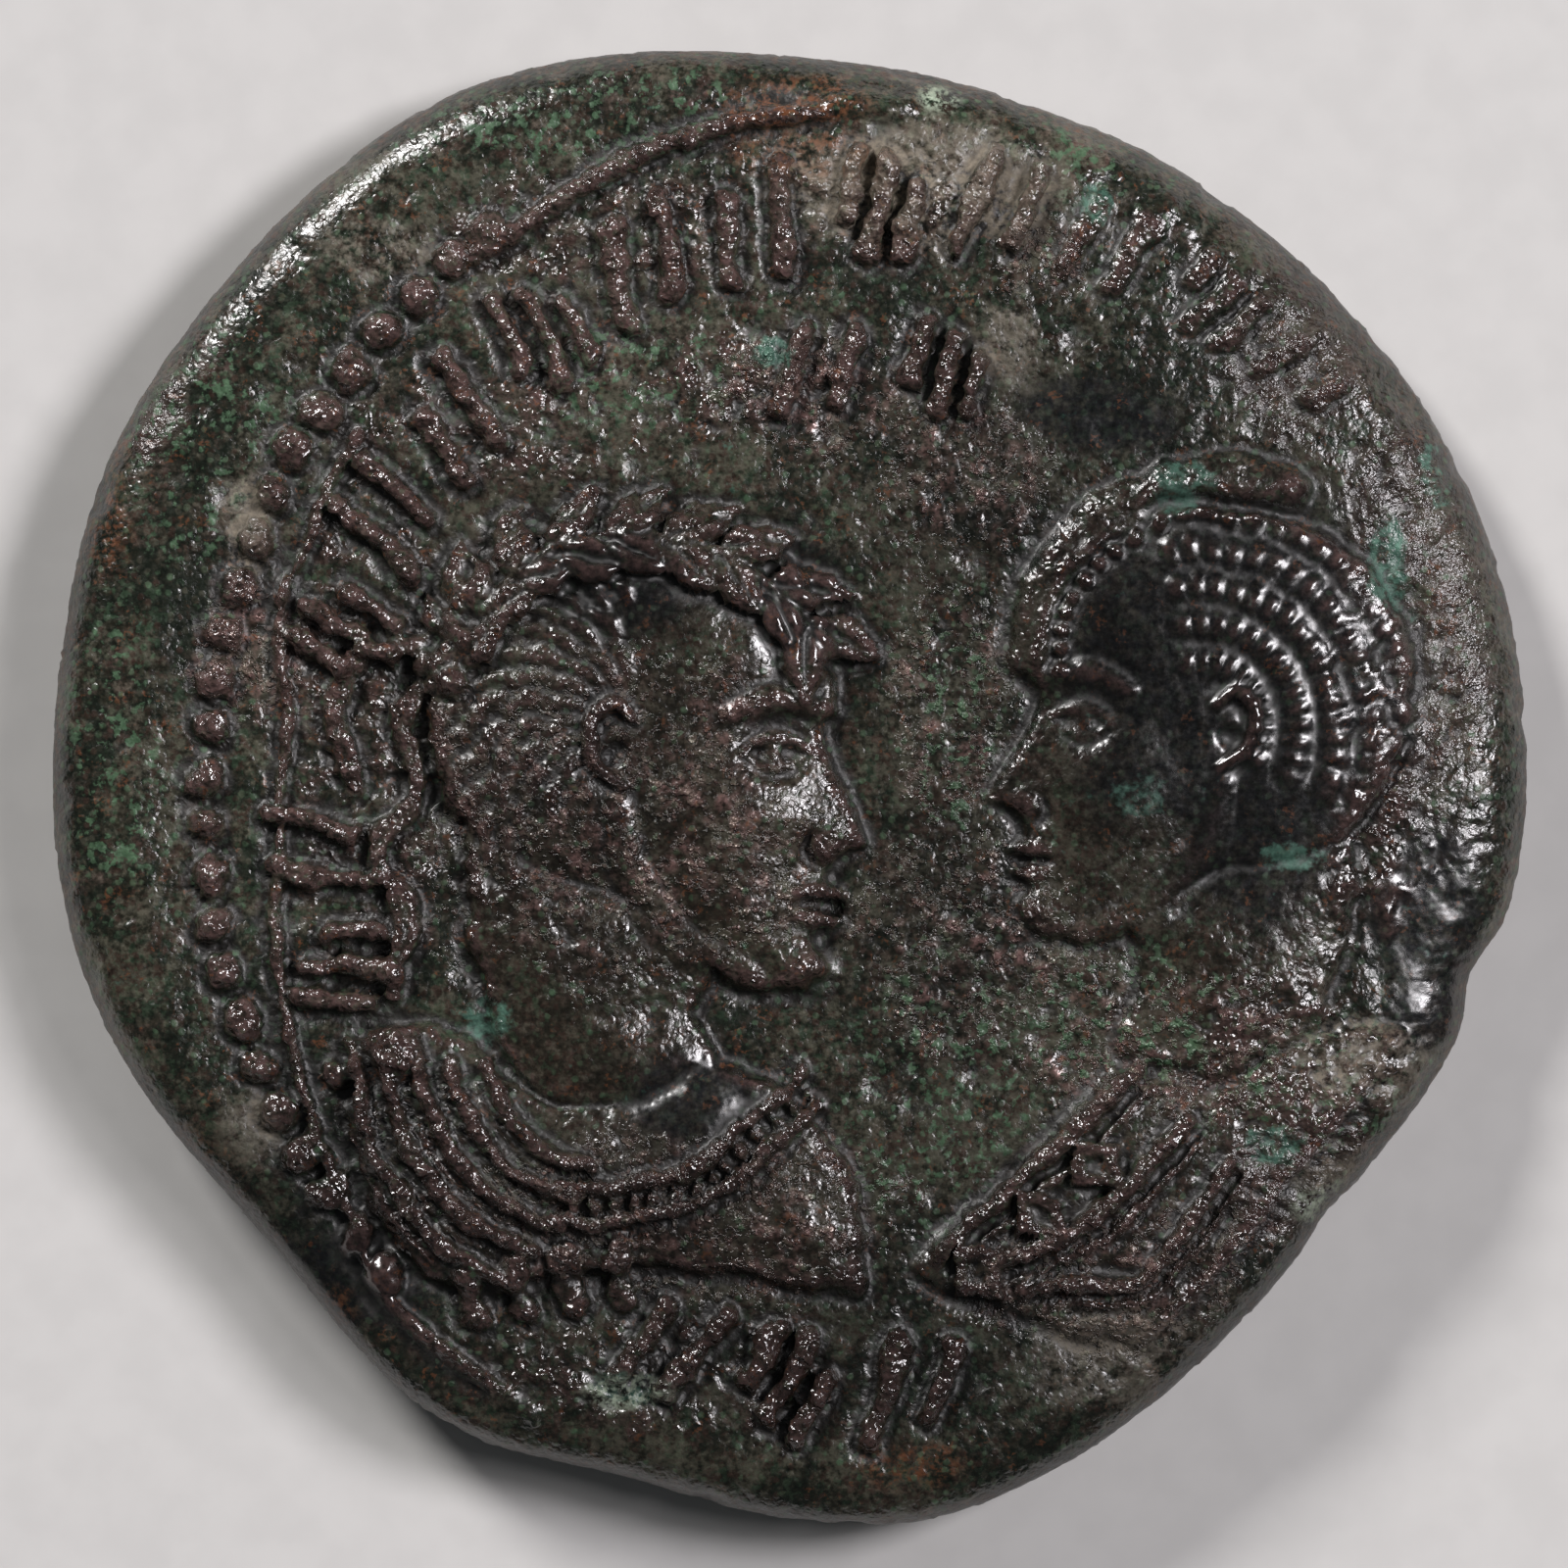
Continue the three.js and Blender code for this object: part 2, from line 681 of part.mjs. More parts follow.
function reverseForms() {
  const { staff, bowl, folds, mantle, ground } = figure;
  const onDie = ([x, y]) => [reverseDie.x + x, reverseDie.y + y];
  const forms = [
    line([[staff.x, staff.from], [staff.x, staff.to]].map(onDie), staff.halfWidth, staff.height),
    line([[-ground.reach, ground.y], [ground.reach, ground.y]].map(onDie), ground.halfWidth, ground.height),
    bump(onDie([bowl.x, bowl.y]), bowl.size, bowl.height),
    ...legendForms(reverseDie, reverseLegend, () => 1),
    ...figure.arms.map((path) => line(
      curve(path.map(onDie), false, spanPoints.cloth),
      figure.armHalfWidth,
      figure.armHeight,
    )),
    body(figure.neck.map(onDie), figure.relief, figure.neckShare),
    body(figure.head.map(onDie), figure.relief, figure.headShare),
    body(figure.body.map(onDie), figure.relief),
  ];
  for (let i = 0; i < folds.count; i += 1) {
    const side = i - (folds.count - 1) / 2;
    const top = [side * folds.spread, folds.top - folds.arch * Math.abs(side)];
    const bottom = [side * folds.spread * folds.flare, folds.bottom];
    forms.push(line([top, bottom].map(onDie), folds.halfWidth, folds.depth));
  }
  mantle.paths.forEach((path) => {
    forms.push(line(curve(path.map(onDie), false, spanPoints.cloth), mantle.halfWidth, mantle.depth));
  });
  return forms;
}

function reliefAt(forms, x, y) {
  let height = 0;
  for (let i = 0; i < forms.length; i += 1) {
    if (inBox(forms[i].box, x, y)) {
      height = forms[i].apply(height, x, y);
    }
  }
  return height;
}

// Height of the bare obverse field.
function fieldAt(x, y) {
  const angle = angleOf(x, y);
  const share = Math.hypot(x, y) / flanRadius(angle);
  const fall = coin.obverseDome + thinner.amount * lobe(angle, thinner.at, thinner.halfWidth);
  return coin.obverseField - fall * share ** coin.domePower;
}

function obverseSurface() {
  const forms = obverseForms();
  return (x, y) => {
    const fromDie = Math.hypot(x - die.x, y - die.y);
    const margin = outerMargin.height * smoothStep(outerMargin.from, outerMargin.to, fromDie);
    return fieldAt(x, y) + margin + reliefAt(forms, x, y);
  };
}

function reverseSurface() {
  const forms = reverseForms();
  return (x, y) => {
    const share = Math.hypot(x, y) / flanRadius(angleOf(x, y));
    const across = clamp(Math.abs(share - rim.middle) / rim.halfWidth, 0, 1);
    const rimRelief = rim.height * (1 - across * across) ** 2;
    return Math.max(0, coin.reverseField - reliefAt(forms, x, y) - rimRelief);
  };
}

const leanAt = (angle) => lobe(angle, edge.leanAt, edge.leanHalfWidth);
const widestHeight = (angle) => edge.widestAt - edge.leanDrop * leanAt(angle);

// A point on the rounded edge: t runs from 0 on the face to 1 on the widest line.
function edgePoint(surface, round, angle, t) {
  const radius = flanRadius(angle) - round * (1 - t);
  const [x, y] = polar({ x: 0, y: 0 }, radius, angle);
  const fullness = edge.fullness + edge.leanFullness * leanAt(angle);
  const drop = (1 - t ** fullness) ** (1 / fullness);
  const widest = widestHeight(angle);
  return [x, y, widest + (surface(x, y) - widest) * drop];
}

const nextEdge = (edgeAt) => (edgeAt % 3 === 2 ? edgeAt - 2 : edgeAt + 1);
const previousEdge = (edgeAt) => (edgeAt % 3 === 0 ? edgeAt + 2 : edgeAt - 1);

// A round face, grown from a fan of triangles by adding the worst-fitted point again and again.
// Edge e runs from corners[e] to corners[nextEdge(e)], and across[e] is the same edge of the neighbour.
function sheet(surface, round, budget, focusAt, mesh, upward) {
  const xs = [];
  const ys = [];
  const zs = [];
  const focus = [];
  const put = (share, angle) => {
    const [x, y] = polar({ x: 0, y: 0 }, share * (flanRadius(angle) - round), angle);
    xs.push(x);
    ys.push(y);
    zs.push(surface(x, y));
    focus.push(focusAt(x, y));
  };
  put(0, 0);
  for (let i = 0; i < ringVertices; i += 1) {
    put(1, -180 + (360 * i) / ringVertices);
  }
  for (let i = 1; i <= trialPoints; i += 1) {
    put(trialReach * Math.sqrt(i / trialPoints), (i * goldenAngle) % 360);
  }

  const corners = [];
  const across = [];
  for (let i = 0; i < ringVertices; i += 1) {
    const before = (i + ringVertices - 1) % ringVertices;
    const after = (i + 1) % ringVertices;
    corners.push(0, 1 + i, 1 + after);
    across.push(3 * before + 2, -1, 3 * after);
  }

  // Twice the area of a triangle, positive when it runs anticlockwise.
  const area = (a, b, c) => (xs[b] - xs[a]) * (ys[c] - ys[a]) - (xs[c] - xs[a]) * (ys[b] - ys[a]);

  const sharesIn = (triangle, point) => {
    const [a, b, c] = corners.slice(3 * triangle, 3 * triangle + 3);
    const whole = area(a, b, c);
    return [area(b, c, point) / whole, area(c, a, point) / whole, area(a, b, point) / whole];
  };

  const waiting = [];
  const worst = [];
  const fill = (triangles, points) => {
    triangles.forEach((triangle) => {
      waiting[triangle] = [];
      worst[triangle] = { error: 0, point: -1 };
    });
    points.forEach((point) => {
      let home = -1;
      let best = -Infinity;
      let shares = [];
      triangles.forEach((triangle) => {
        const trial = sharesIn(triangle, point);
        const least = Math.min(...trial);
        if (least > best) {
          best = least;
          home = triangle;
          shares = trial;
        }
      });
      const flat = shares.reduce((sum, share, k) => sum + share * zs[corners[3 * home + k]], 0);
      const error = focus[point] * Math.abs(zs[point] - flat);
      waiting[home].push(point);
      if (error > worst[home].error) {
        worst[home] = { error, point };
      }
    });
  };

  // Sorts the trial points into the first fan by their direction.
  const firstHomes = corners.map(() => []);
  for (let i = 1; i <= trialPoints; i += 1) {
    const at = ringVertices + i;
    const turn = ((angleOf(xs[at], ys[at]) + 180) / 360) * ringVertices;
    firstHomes[Math.floor(turn) % ringVertices].push(at);
  }
  for (let i = 0; i < ringVertices; i += 1) {
    fill([i], firstHomes[i]);
  }

  const link = (one, other) => {
    across[one] = other;
    if (other >= 0) {
      across[other] = one;
    }
  };

  const insideCircle = (a, b, c, d) => {
    const rows = [a, b, c].map((point) => {
      const dx = xs[point] - xs[d];
      const dy = ys[point] - ys[d];
      return [dx, dy, dx * dx + dy * dy];
    });
    const [p, q, r] = rows;
    return p[0] * (q[1] * r[2] - q[2] * r[1])
      - p[1] * (q[0] * r[2] - q[2] * r[0])
      + p[2] * (q[0] * r[1] - q[1] * r[0]) > 0;
  };

  const add = (triangle, point) => {
    const first = 3 * triangle;
    const second = corners.length;
    const third = second + 3;
    const [a, b, c] = corners.slice(first, first + 3);
    const outer = across.slice(first, first + 3);
    corners[first + 2] = point;
    corners.push(b, c, point, c, a, point);
    link(first, outer[0]);
    link(second, outer[1]);
    link(third, outer[2]);
    link(first + 1, second + 2);
    link(first + 2, third + 1);
    link(second + 1, third + 2);

    const changed = new Set([triangle, second / 3, third / 3]);
    const points = waiting[triangle].filter((item) => item !== point);
    const toCheck = [first, second, third];
    while (toCheck.length > 0) {
      const near = toCheck.pop();
      const far = across[near];
      if (far < 0) {
        continue;
      }
      const nearNext = nextEdge(near);
      const nearLast = previousEdge(near);
      const farNext = nextEdge(far);
      const farLast = previousEdge(far);
      const from = corners[near];
      const to = corners[nearNext];
      const opposite = corners[farLast];
      if (insideCircle(from, to, point, opposite)) {
        const farTriangle = Math.floor(far / 3);
        if (!changed.has(farTriangle)) {
          changed.add(farTriangle);
          points.push(...waiting[farTriangle]);
        }
        const kept = [across[nearNext], across[nearLast], across[farNext], across[farLast]];
        corners[nearNext] = opposite;
        corners[nearLast] = point;
        corners[far] = opposite;
        corners[farNext] = to;
        corners[farLast] = point;
        link(near, kept[2]);
        link(nearLast, kept[1]);
        link(far, kept[3]);
        link(farNext, kept[0]);
        link(nearNext, farLast);
        toCheck.push(near, far);
      }
    }
    fill([...changed], points);
  };

  for (let at = ringVertices + seedSpacing; at < xs.length; at += seedSpacing) {
    add(waiting.findIndex((points) => points.includes(at)), at);
  }
  while (corners.length / 3 < budget) {
    let triangle = 0;
    worst.forEach((item, i) => {
      if (item.error > worst[triangle].error) {
        triangle = i;
      }
    });
    add(triangle, worst[triangle].point);
  }

  const placed = new Map();
  const vertex = (at) => {
    if (!placed.has(at)) {
      placed.set(at, mesh.add([xs[at], ys[at], zs[at]]));
    }
    return placed.get(at);
  };
  for (let i = 0; i < corners.length; i += 3) {
    const [p, q, r] = corners.slice(i, i + 3).map(vertex);
    mesh.face(upward ? [p, q, r] : [p, r, q]);
  }
  const loop = [];
  for (let i = 0; i < ringVertices; i += 1) {
    loop.push({ placed: vertex(1 + i), angle: -180 + (360 * i) / ringVertices });
  }
  return loop;
}

function ring(surface, round, t, mesh) {
  const items = [];
  for (let i = 0; i < ringVertices; i += 1) {
    const angle = -180 + (360 * (i + 0.5)) / ringVertices;
    items.push({ placed: mesh.add(edgePoint(surface, round, angle, t)), angle });
  }
  return items;
}

// Joins two closed loops sorted by angle, the upper one first.
function zip(upper, lower, mesh) {
  let i = 0;
  let j = 0;
  const angleAt = (loop, k) => loop[k % loop.length].angle + (k >= loop.length ? 360 : 0);
  const placedAt = (loop, k) => loop[k % loop.length].placed;
  while (i < upper.length || j < lower.length) {
    const upperIsNext = i < upper.length && angleAt(upper, i + 1) < angleAt(lower, j + 1);
    if (j >= lower.length || upperIsNext) {
      mesh.face([placedAt(upper, i), placedAt(lower, j), placedAt(upper, i + 1)]);
      i += 1;
    } else {
      mesh.face([placedAt(upper, i), placedAt(lower, j), placedAt(lower, j + 1)]);
      j += 1;
    }
  }
}

function coinGeometry() {
  const positions = [];
  const faces = [];
  const mesh = {
    add(point) {
      positions.push(...point);
      return positions.length / 3 - 1;
    },
    face(corners) {
      faces.push(...corners);
    },
  };
  const obverse = obverseSurface();
  const reverse = reverseSurface();
  const nearHead = (x, y) => [leftHead, rightHead].some((head) => (
    Math.hypot(x - head.x, y - head.y) < focusReach * head.size
  ));
  const focusAt = (x, y) => (nearHead(x, y) ? headFocus : 1);
  const loops = [
    sheet(obverse, edge.obverseRound, obverseTriangles, focusAt, mesh, true),
    ...obverseRings.map((t) => ring(obverse, edge.obverseRound, t, mesh)),
    ring(obverse, edge.obverseRound, 1, mesh),
    ...reverseRings.map((t) => ring(reverse, edge.reverseRound, t, mesh)),
    sheet(reverse, edge.reverseRound, reverseTriangles, () => 1, mesh, false),
  ];
  for (let i = 0; i < loops.length - 1; i += 1) {
    zip(loops[i], loops[i + 1], mesh);
  }
  const geometry = new THREE.BufferGeometry();
  geometry.setAttribute('position', new THREE.Float32BufferAttribute(positions, 3));
  geometry.setIndex(faces);
  geometry.computeBoundingBox();
  const middle = geometry.boundingBox.getCenter(new THREE.Vector3());
  geometry.translate(-middle.x, -middle.y, 0);
  geometry.computeVertexNormals();
  return geometry;
}

const bronze = new THREE.MeshStandardMaterial({
  name: 'patinated_bronze',
  color: coin.colour,
  roughness: coin.roughness,
  metalness: coin.metalness,
});
const struckCoin = new THREE.Mesh(coinGeometry(), bronze);
struckCoin.name = 'coin';

const part = new THREE.Group();
part.name = 'roman_bronze_coin';
part.add(struckCoin);

export default part;
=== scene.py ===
import math
import bpy
import numpy as np
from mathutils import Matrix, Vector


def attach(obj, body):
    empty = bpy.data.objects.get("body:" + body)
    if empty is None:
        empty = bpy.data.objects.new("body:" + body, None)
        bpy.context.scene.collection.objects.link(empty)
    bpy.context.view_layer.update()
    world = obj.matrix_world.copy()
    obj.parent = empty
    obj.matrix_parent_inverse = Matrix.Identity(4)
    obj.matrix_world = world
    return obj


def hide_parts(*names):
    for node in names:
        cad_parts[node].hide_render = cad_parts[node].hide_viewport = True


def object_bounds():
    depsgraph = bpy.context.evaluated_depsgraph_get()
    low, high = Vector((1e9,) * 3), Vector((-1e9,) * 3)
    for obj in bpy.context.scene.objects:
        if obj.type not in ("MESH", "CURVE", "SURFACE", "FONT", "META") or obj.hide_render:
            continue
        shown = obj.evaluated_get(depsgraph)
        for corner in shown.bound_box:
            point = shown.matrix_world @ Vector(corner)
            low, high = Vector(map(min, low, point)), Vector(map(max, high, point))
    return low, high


print("coin: loading the frame")
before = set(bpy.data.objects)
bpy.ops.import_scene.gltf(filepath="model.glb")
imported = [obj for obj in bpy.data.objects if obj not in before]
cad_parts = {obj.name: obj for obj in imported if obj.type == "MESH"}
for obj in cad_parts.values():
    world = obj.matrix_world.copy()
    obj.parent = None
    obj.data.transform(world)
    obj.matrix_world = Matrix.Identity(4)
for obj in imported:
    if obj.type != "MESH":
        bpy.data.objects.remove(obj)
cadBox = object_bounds()

# Lengths on the coin are in millimetres until the mesh is made, angles in degrees.
mm = 0.001
degrees = math.pi / 180


# small maths

def smoothStep(low, high, value):
    t = np.clip((value - low) / (high - low), 0, 1)
    return t * t * (3 - 2 * t)


def lobe(angle, at, halfWidth):
    away = (angle - at + 540) % 360 - 180
    return np.exp(-(away / halfWidth) ** 2)


def polar(centre, radius, angle):
    return (centre[0] + radius * math.cos(angle * degrees), centre[1] + radius * math.sin(angle * degrees))


# seeded scatter of numbers, one for each whole-number cell of space
def cellNumber(cell, seed):
    table = np.random.default_rng(seed).random(8192)
    mixed = cell[..., 0] * 73856093 ^ cell[..., 1] * 19349663 ^ cell[..., 2] * 83492791
    return table[mixed % 8192]


def softNoise(points, size, seed):
    spots = points / size
    cell = np.floor(spots).astype(np.int64)
    part = spots - cell
    part = part * part * (3 - 2 * part)
    total = np.zeros(len(points))
    for corner in np.ndindex(2, 2, 2):
        share = np.prod(np.where(corner, part, 1 - part), axis=1)
        total += share * cellNumber(cell + corner, seed)
    return 2 * total - 1


def roughNoise(points, size, octaves, seed):
    total, weight = 0, 0
    for octave in range(octaves):
        share = 0.55 ** octave
        total = total + share * softNoise(points, size / 2 ** octave, seed + octave)
        weight += share
    return total / weight


# rounded grains: one in each cell of space, off centre, of its own size
def grainNoise(points, size, fill, seed):
    spots = points / size
    cell = np.floor(spots).astype(np.int64)
    best = np.zeros(len(points))
    for step in np.ndindex(3, 3, 3):
        home = cell + np.array(step) - 1
        middle = np.stack([cellNumber(home, seed + axis) for axis in range(3)], axis=1)
        away = np.linalg.norm(spots - home - 0.15 - 0.7 * middle, axis=1)
        reach = 0.35 + 0.35 * cellNumber(home, seed + 3)
        dome = np.sqrt(np.clip(1 - (away / reach) ** 2, 0, 1)) * reach / 0.7
        best = np.maximum(best, np.where(cellNumber(home, seed + 4) < fill, dome, 0))
    return best


# patches with uneven outlines: a number for each, and a flat facet that tilts its own way
def mottleNoise(points, size, seed):
    stir = np.stack([softNoise(points, 0.6 * size, seed + 10 + axis) for axis in range(3)], axis=1)
    spots = points / size + 0.35 * stir
    cell = np.floor(spots).astype(np.int64)
    nearest = np.full(len(points), np.inf)
    number, facet = np.zeros(len(points)), np.zeros(len(points))
    for step in np.ndindex(3, 3, 3):
        home = cell + np.array(step) - 1
        own = [cellNumber(home, seed + axis) for axis in range(6)]
        gap = spots - home - np.stack(own[:3], axis=1)
        away = np.linalg.norm(gap, axis=1)
        number = np.where(away < nearest, own[3], number)
        facet = np.where(away < nearest, gap[:, 0] * (2 * own[4] - 1) + gap[:, 1] * (2 * own[5] - 1), facet)
        nearest = np.minimum(nearest, away)
    return number, facet


# smooth curve through a few control points
def curve(points, closed, perSpan):
    points = np.array(points, float)
    count = len(points)
    spans = count if closed else count - 1
    made = []
    for step in range(perSpan * count + 1):
        place = spans * step / (perSpan * count)
        first = min(int(place), spans - 1)
        t = place - first
        b, c = points[first], points[(first + 1) % count]
        a = points[(first - 1) % count] if closed or first > 0 else 2 * b - c
        d = points[(first + 2) % count] if closed or first + 2 < count else 2 * c - b
        u, v, w = (max(np.hypot(*gap), 1e-6) ** 0.5 for gap in (b - a, c - b, d - c))
        leave = v * ((b - a) / u - (c - a) / (u + v) + (c - b) / v)
        reach = v * ((c - b) / v - (d - b) / (v + w) + (d - c) / w)
        made.append(b + t * leave + t * t * (3 * (c - b) - 2 * leave - reach)
                    + t ** 3 * (2 * (b - c) + leave + reach))
    return np.array(made)


# distance to a path, and how far along it the nearest spot lies, from 0 to 1
def nearestOn(path, x, y):
    path = np.array(path, float)
    steps = np.diff(path, axis=0)
    lengths = np.hypot(steps[:, 0], steps[:, 1])
    starts = np.concatenate([[0], np.cumsum(lengths)])
    best = np.full(x.shape, np.inf)
    along = np.zeros(x.shape)
    for (ax, ay), (dx, dy), length, start in zip(path, steps, lengths, starts):
        t = np.clip(((x - ax) * dx + (y - ay) * dy) / (length * length), 0, 1)
        away = np.hypot(x - ax - t * dx, y - ay - t * dy)
        along = np.where(away < best, (start + t * length) / starts[-1], along)
        best = np.minimum(best, away)
    return best, along


# relief forms: a box, and a rule from the height so far to the new one

def boxOf(points, margin):
    points = np.array(points, float)
    return (*(points.min(0) - margin), *(points.max(0) + margin))


# a raised shape inside a closed outline: a short step at its edge, then a dome
def body(points, relief, share=1):
    step, dome, domeWidth = relief
    stepWidth = 0.3
    outline = curve(points, True, 5)

    def rule(height, x, y):
        nearest, _ = nearestOn(outline, x, y)
        inside = np.zeros(x.shape, bool)
        for (ax, ay), (bx, by) in zip(outline, outline[1:]):
            if ay != by:
                inside ^= ((ay > y) != (by > y)) & (x < ax + (y - ay) * (bx - ax) / (by - ay))
        depth = np.where(inside, nearest, 0)
        swell = np.sin(np.clip(depth / domeWidth, 0, 1) * math.pi / 2)
        rise = step * smoothStep(0, stepWidth, depth) + dome * swell
        return np.maximum(height, share * rise)

    return boxOf(outline, 0), rule


# ridge or groove along a path: taper thins it towards its ends, crimp makes it rise and fall
def line(points, halfWidth, height, share=1, taper=0, crimp=0, power=1.5):
    def rule(before, x, y):
        away, along = nearestOn(points, x, y)
        width = halfWidth * (1 - taper * np.abs(2 * along - 1) ** 2)
        rise = np.clip(1 - (away / width) ** 2, 0, 1) ** power
        if crimp:
            rise = rise * (0.7 + 0.3 * np.cos(2 * math.pi * crimp * along))
        return before + share * height * (1 - taper * np.abs(2 * along - 1) ** 3) * rise

    return boxOf(points, halfWidth), rule


def bump(at, reach, height, share=1, power=1.5):
    x0, y0 = at

    def rule(before, x, y):
        away = np.clip(np.hypot(x - x0, y - y0) / reach, 0, 1)
        return before + share * height * (1 - away * away) ** power

    return (x0 - reach, y0 - reach, x0 + reach, y0 + reach), rule


def lozenge(at, reach, height, turn):
    x0, y0 = at
    c, s = math.cos(turn * degrees), math.sin(turn * degrees)

    def rule(before, x, y):
        u = np.abs((x - x0) * c + (y - y0) * s)
        v = np.abs((y - y0) * c - (x - x0) * s)
        away = (u + 0.8 * v) / reach
        dish = 0.62 + 0.38 * smoothStep(0.2, 0.55, away)  # its middle is sunk
        return before + height * smoothStep(1, 0.72, away) * dish

    return (x0 - 1.3 * reach, y0 - 1.3 * reach, x0 + 1.3 * reach, y0 + 1.3 * reach), rule


def leaf(foot, direction, length, halfWidth, height, vein):
    x0, y0 = foot
    c, s = math.cos(direction * degrees), math.sin(direction * degrees)
    reach = length + halfWidth

    def rule(before, x, y):
        along = np.clip(((x - x0) * c + (y - y0) * s) / length, 1e-4, 1 - 1e-4)
        across = np.abs((y - y0) * c - (x - x0) * s)
        width = halfWidth * np.sin(math.pi * along ** 0.8)
        rise = np.sqrt(np.clip(1 - (across / width) ** 2, 0, 1)) * np.sin(math.pi * along) ** 0.4
        rise = rise * (1 - vein * np.exp(-(across / 0.075) ** 2))
        return before + height * np.where((along > 1e-4) & (along < 1 - 1e-4), rise, 0)

    return (x0 - reach, y0 - reach, x0 + reach, y0 + reach), rule


def applyForms(forms, before, x, y):
    height = before.copy()
    for (x0, y0, x1, y1), rule in forms:
        near = (x >= x0) & (x <= x1) & (y >= y0) & (y <= y1)
        if near.any():
            height[near] = rule(height[near], x[near], y[near])
    return height


# raised forms that lie side by side or across each other: only the tallest counts
def bundle(forms):
    corners = [corner for (x0, y0, x1, y1), _ in forms for corner in ((x0, y0), (x1, y1))]

    def rule(before, x, y):
        tallest = np.zeros(x.shape)
        for form in forms:
            tallest = np.maximum(tallest, applyForms([form], np.zeros(x.shape), x, y))
        return before + tallest

    return boxOf(corners, 0), rule


def arc(centre, radius, start, end, pieces):
    return [polar(centre, radius, start + (end - start) * i / pieces) for i in range(pieces + 1)]


# the flan: hammered outline, faces and edge

flan = dict(
    radius=13.3,
    # direction and half width of each swell or flat, and how far it moves the outline
    swells=[(117, 21, 0.86), (151, 18, 0.5), (184, 20, 0.14), (220, 17, -0.72), (257, 10, -0.42),
            (281, 11, 0.26), (321, 21, -0.74), (322, 2.6, -0.1), (345, 3.4, -0.3), (22, 34, 0.32)],
    obverseField=2.72, obverseDome=0.34, reverseField=0.5,
    thinner=(12, 42, 0.5),  # direction, half width and depth of the stretch that falls away further
    obverseRound=1.05, reverseRound=0.95, widestAt=1.5, fullness=2.3,
    lean=(35, 48), leanDrop=0.6, leanFullness=-0.5,  # where the edge wall leans out
    obverseRings=150, reverseRings=64, obverseBands=9, reverseBands=9,  # how finely it is meshed
)


def flanRadius(angle):
    swells = (amount * lobe(angle, at, halfWidth) for at, halfWidth, amount in flan["swells"])
    return flan["radius"] + sum(swells)


def fieldHeight(x, y):
    angle = np.arctan2(y, x) / degrees
    at, halfWidth, amount = flan["thinner"]
    fall = flan["obverseDome"] + amount * lobe(angle, at, halfWidth)
    return flan["obverseField"] - fall * (np.hypot(x, y) / flanRadius(angle)) ** 4


# obverse: two facing busts struck off centre

obverse = dict(
    die=(2.3, -0.12),
    beads=dict(radius=12.95, start=127, end=222, pitch=3.95, size=0.42, height=0.25),
    border=dict(radius=12.7, start=91, end=129, halfWidth=0.24, height=0.22),
    innerLine=dict(path=[(-7.9, 6.5), (-8.75, 4.6), (-9.35, 2.8), (-9.15, 1.4), (-9.4, -1.2),
                         (-9.25, -3.6), (-8.75, -5.9), (-7.9, -8.2), (-6.5, -10.0), (-4.6, -11.4)],
                   halfWidth=0.16, height=0.17),
    margin=(13.5, 14.3, 0.1),  # from where to where the bare margin rises, and how high
    signs=dict(radius=10.9, pitch=11.7, arcs=[(47, 165), (185, 209), (246, 270)], tall=2.1, wide=1.9,
               stroke=0.26, height=0.27, faintUntil=78, faintShare=0.45),
    upperSigns=dict(x=0.5, y=7.75, pitch=2.35, count=2, tall=1.7, wide=1.9, stroke=0.25, height=0.26),
    leftHead=dict(x=-2.7, y=0.86, size=8.9, facing=1, tilt=-3),
    rightHead=dict(x=7.6, y=1.2, size=8.3, facing=-1, tilt=2),
    # step at the outline, height of the dome over it, and how far in the dome reaches its height
    headRelief=(0.2, 0.42, 2.3), neckRelief=(0.14, 0.3, 1.9), bustRelief=(0.18, 0.26, 1.6),
    rightWear=0.62,
    leftNeck=[(-5.9, -0.4), (-6.0, -2.2), (-5.7, -4.0), (-4.6, -5.8), (-2.6, -6.0), (-1.0, -5.2),
              (-1.7, -4.0), (-1.0, -2.8)],
    leftBust=[(-1.4, -4.8), (0.4, -5.7), (1.25, -7.0), (1.5, -8.3), (1.35, -9.25), (-1.2, -8.85),
              (-3.6, -8.9), (-5.4, -9.3), (-6.7, -8.9), (-7.8, -7.4), (-8.2, -5.9), (-7.9, -4.4),
              (-6.3, -4.1), (-4.2, -5.6)],
    rightNeck=[(5.9, -2.2), (6.3, -3.4), (5.9, -4.8), (7.4, -5.2), (9.6, -4.6), (10.2, -2.8),
               (10.3, -0.8)],
    rightBust=[(2.2, -8.65), (4.1, -6.75), (6.0, -4.95), (7.4, -5.3), (9.6, -4.3), (11.4, -4.4),
               (12.4, -6.6), (10.6, -9.0), (7.6, -10.3), (5.2, -9.9), (3.5, -9.35)],
)

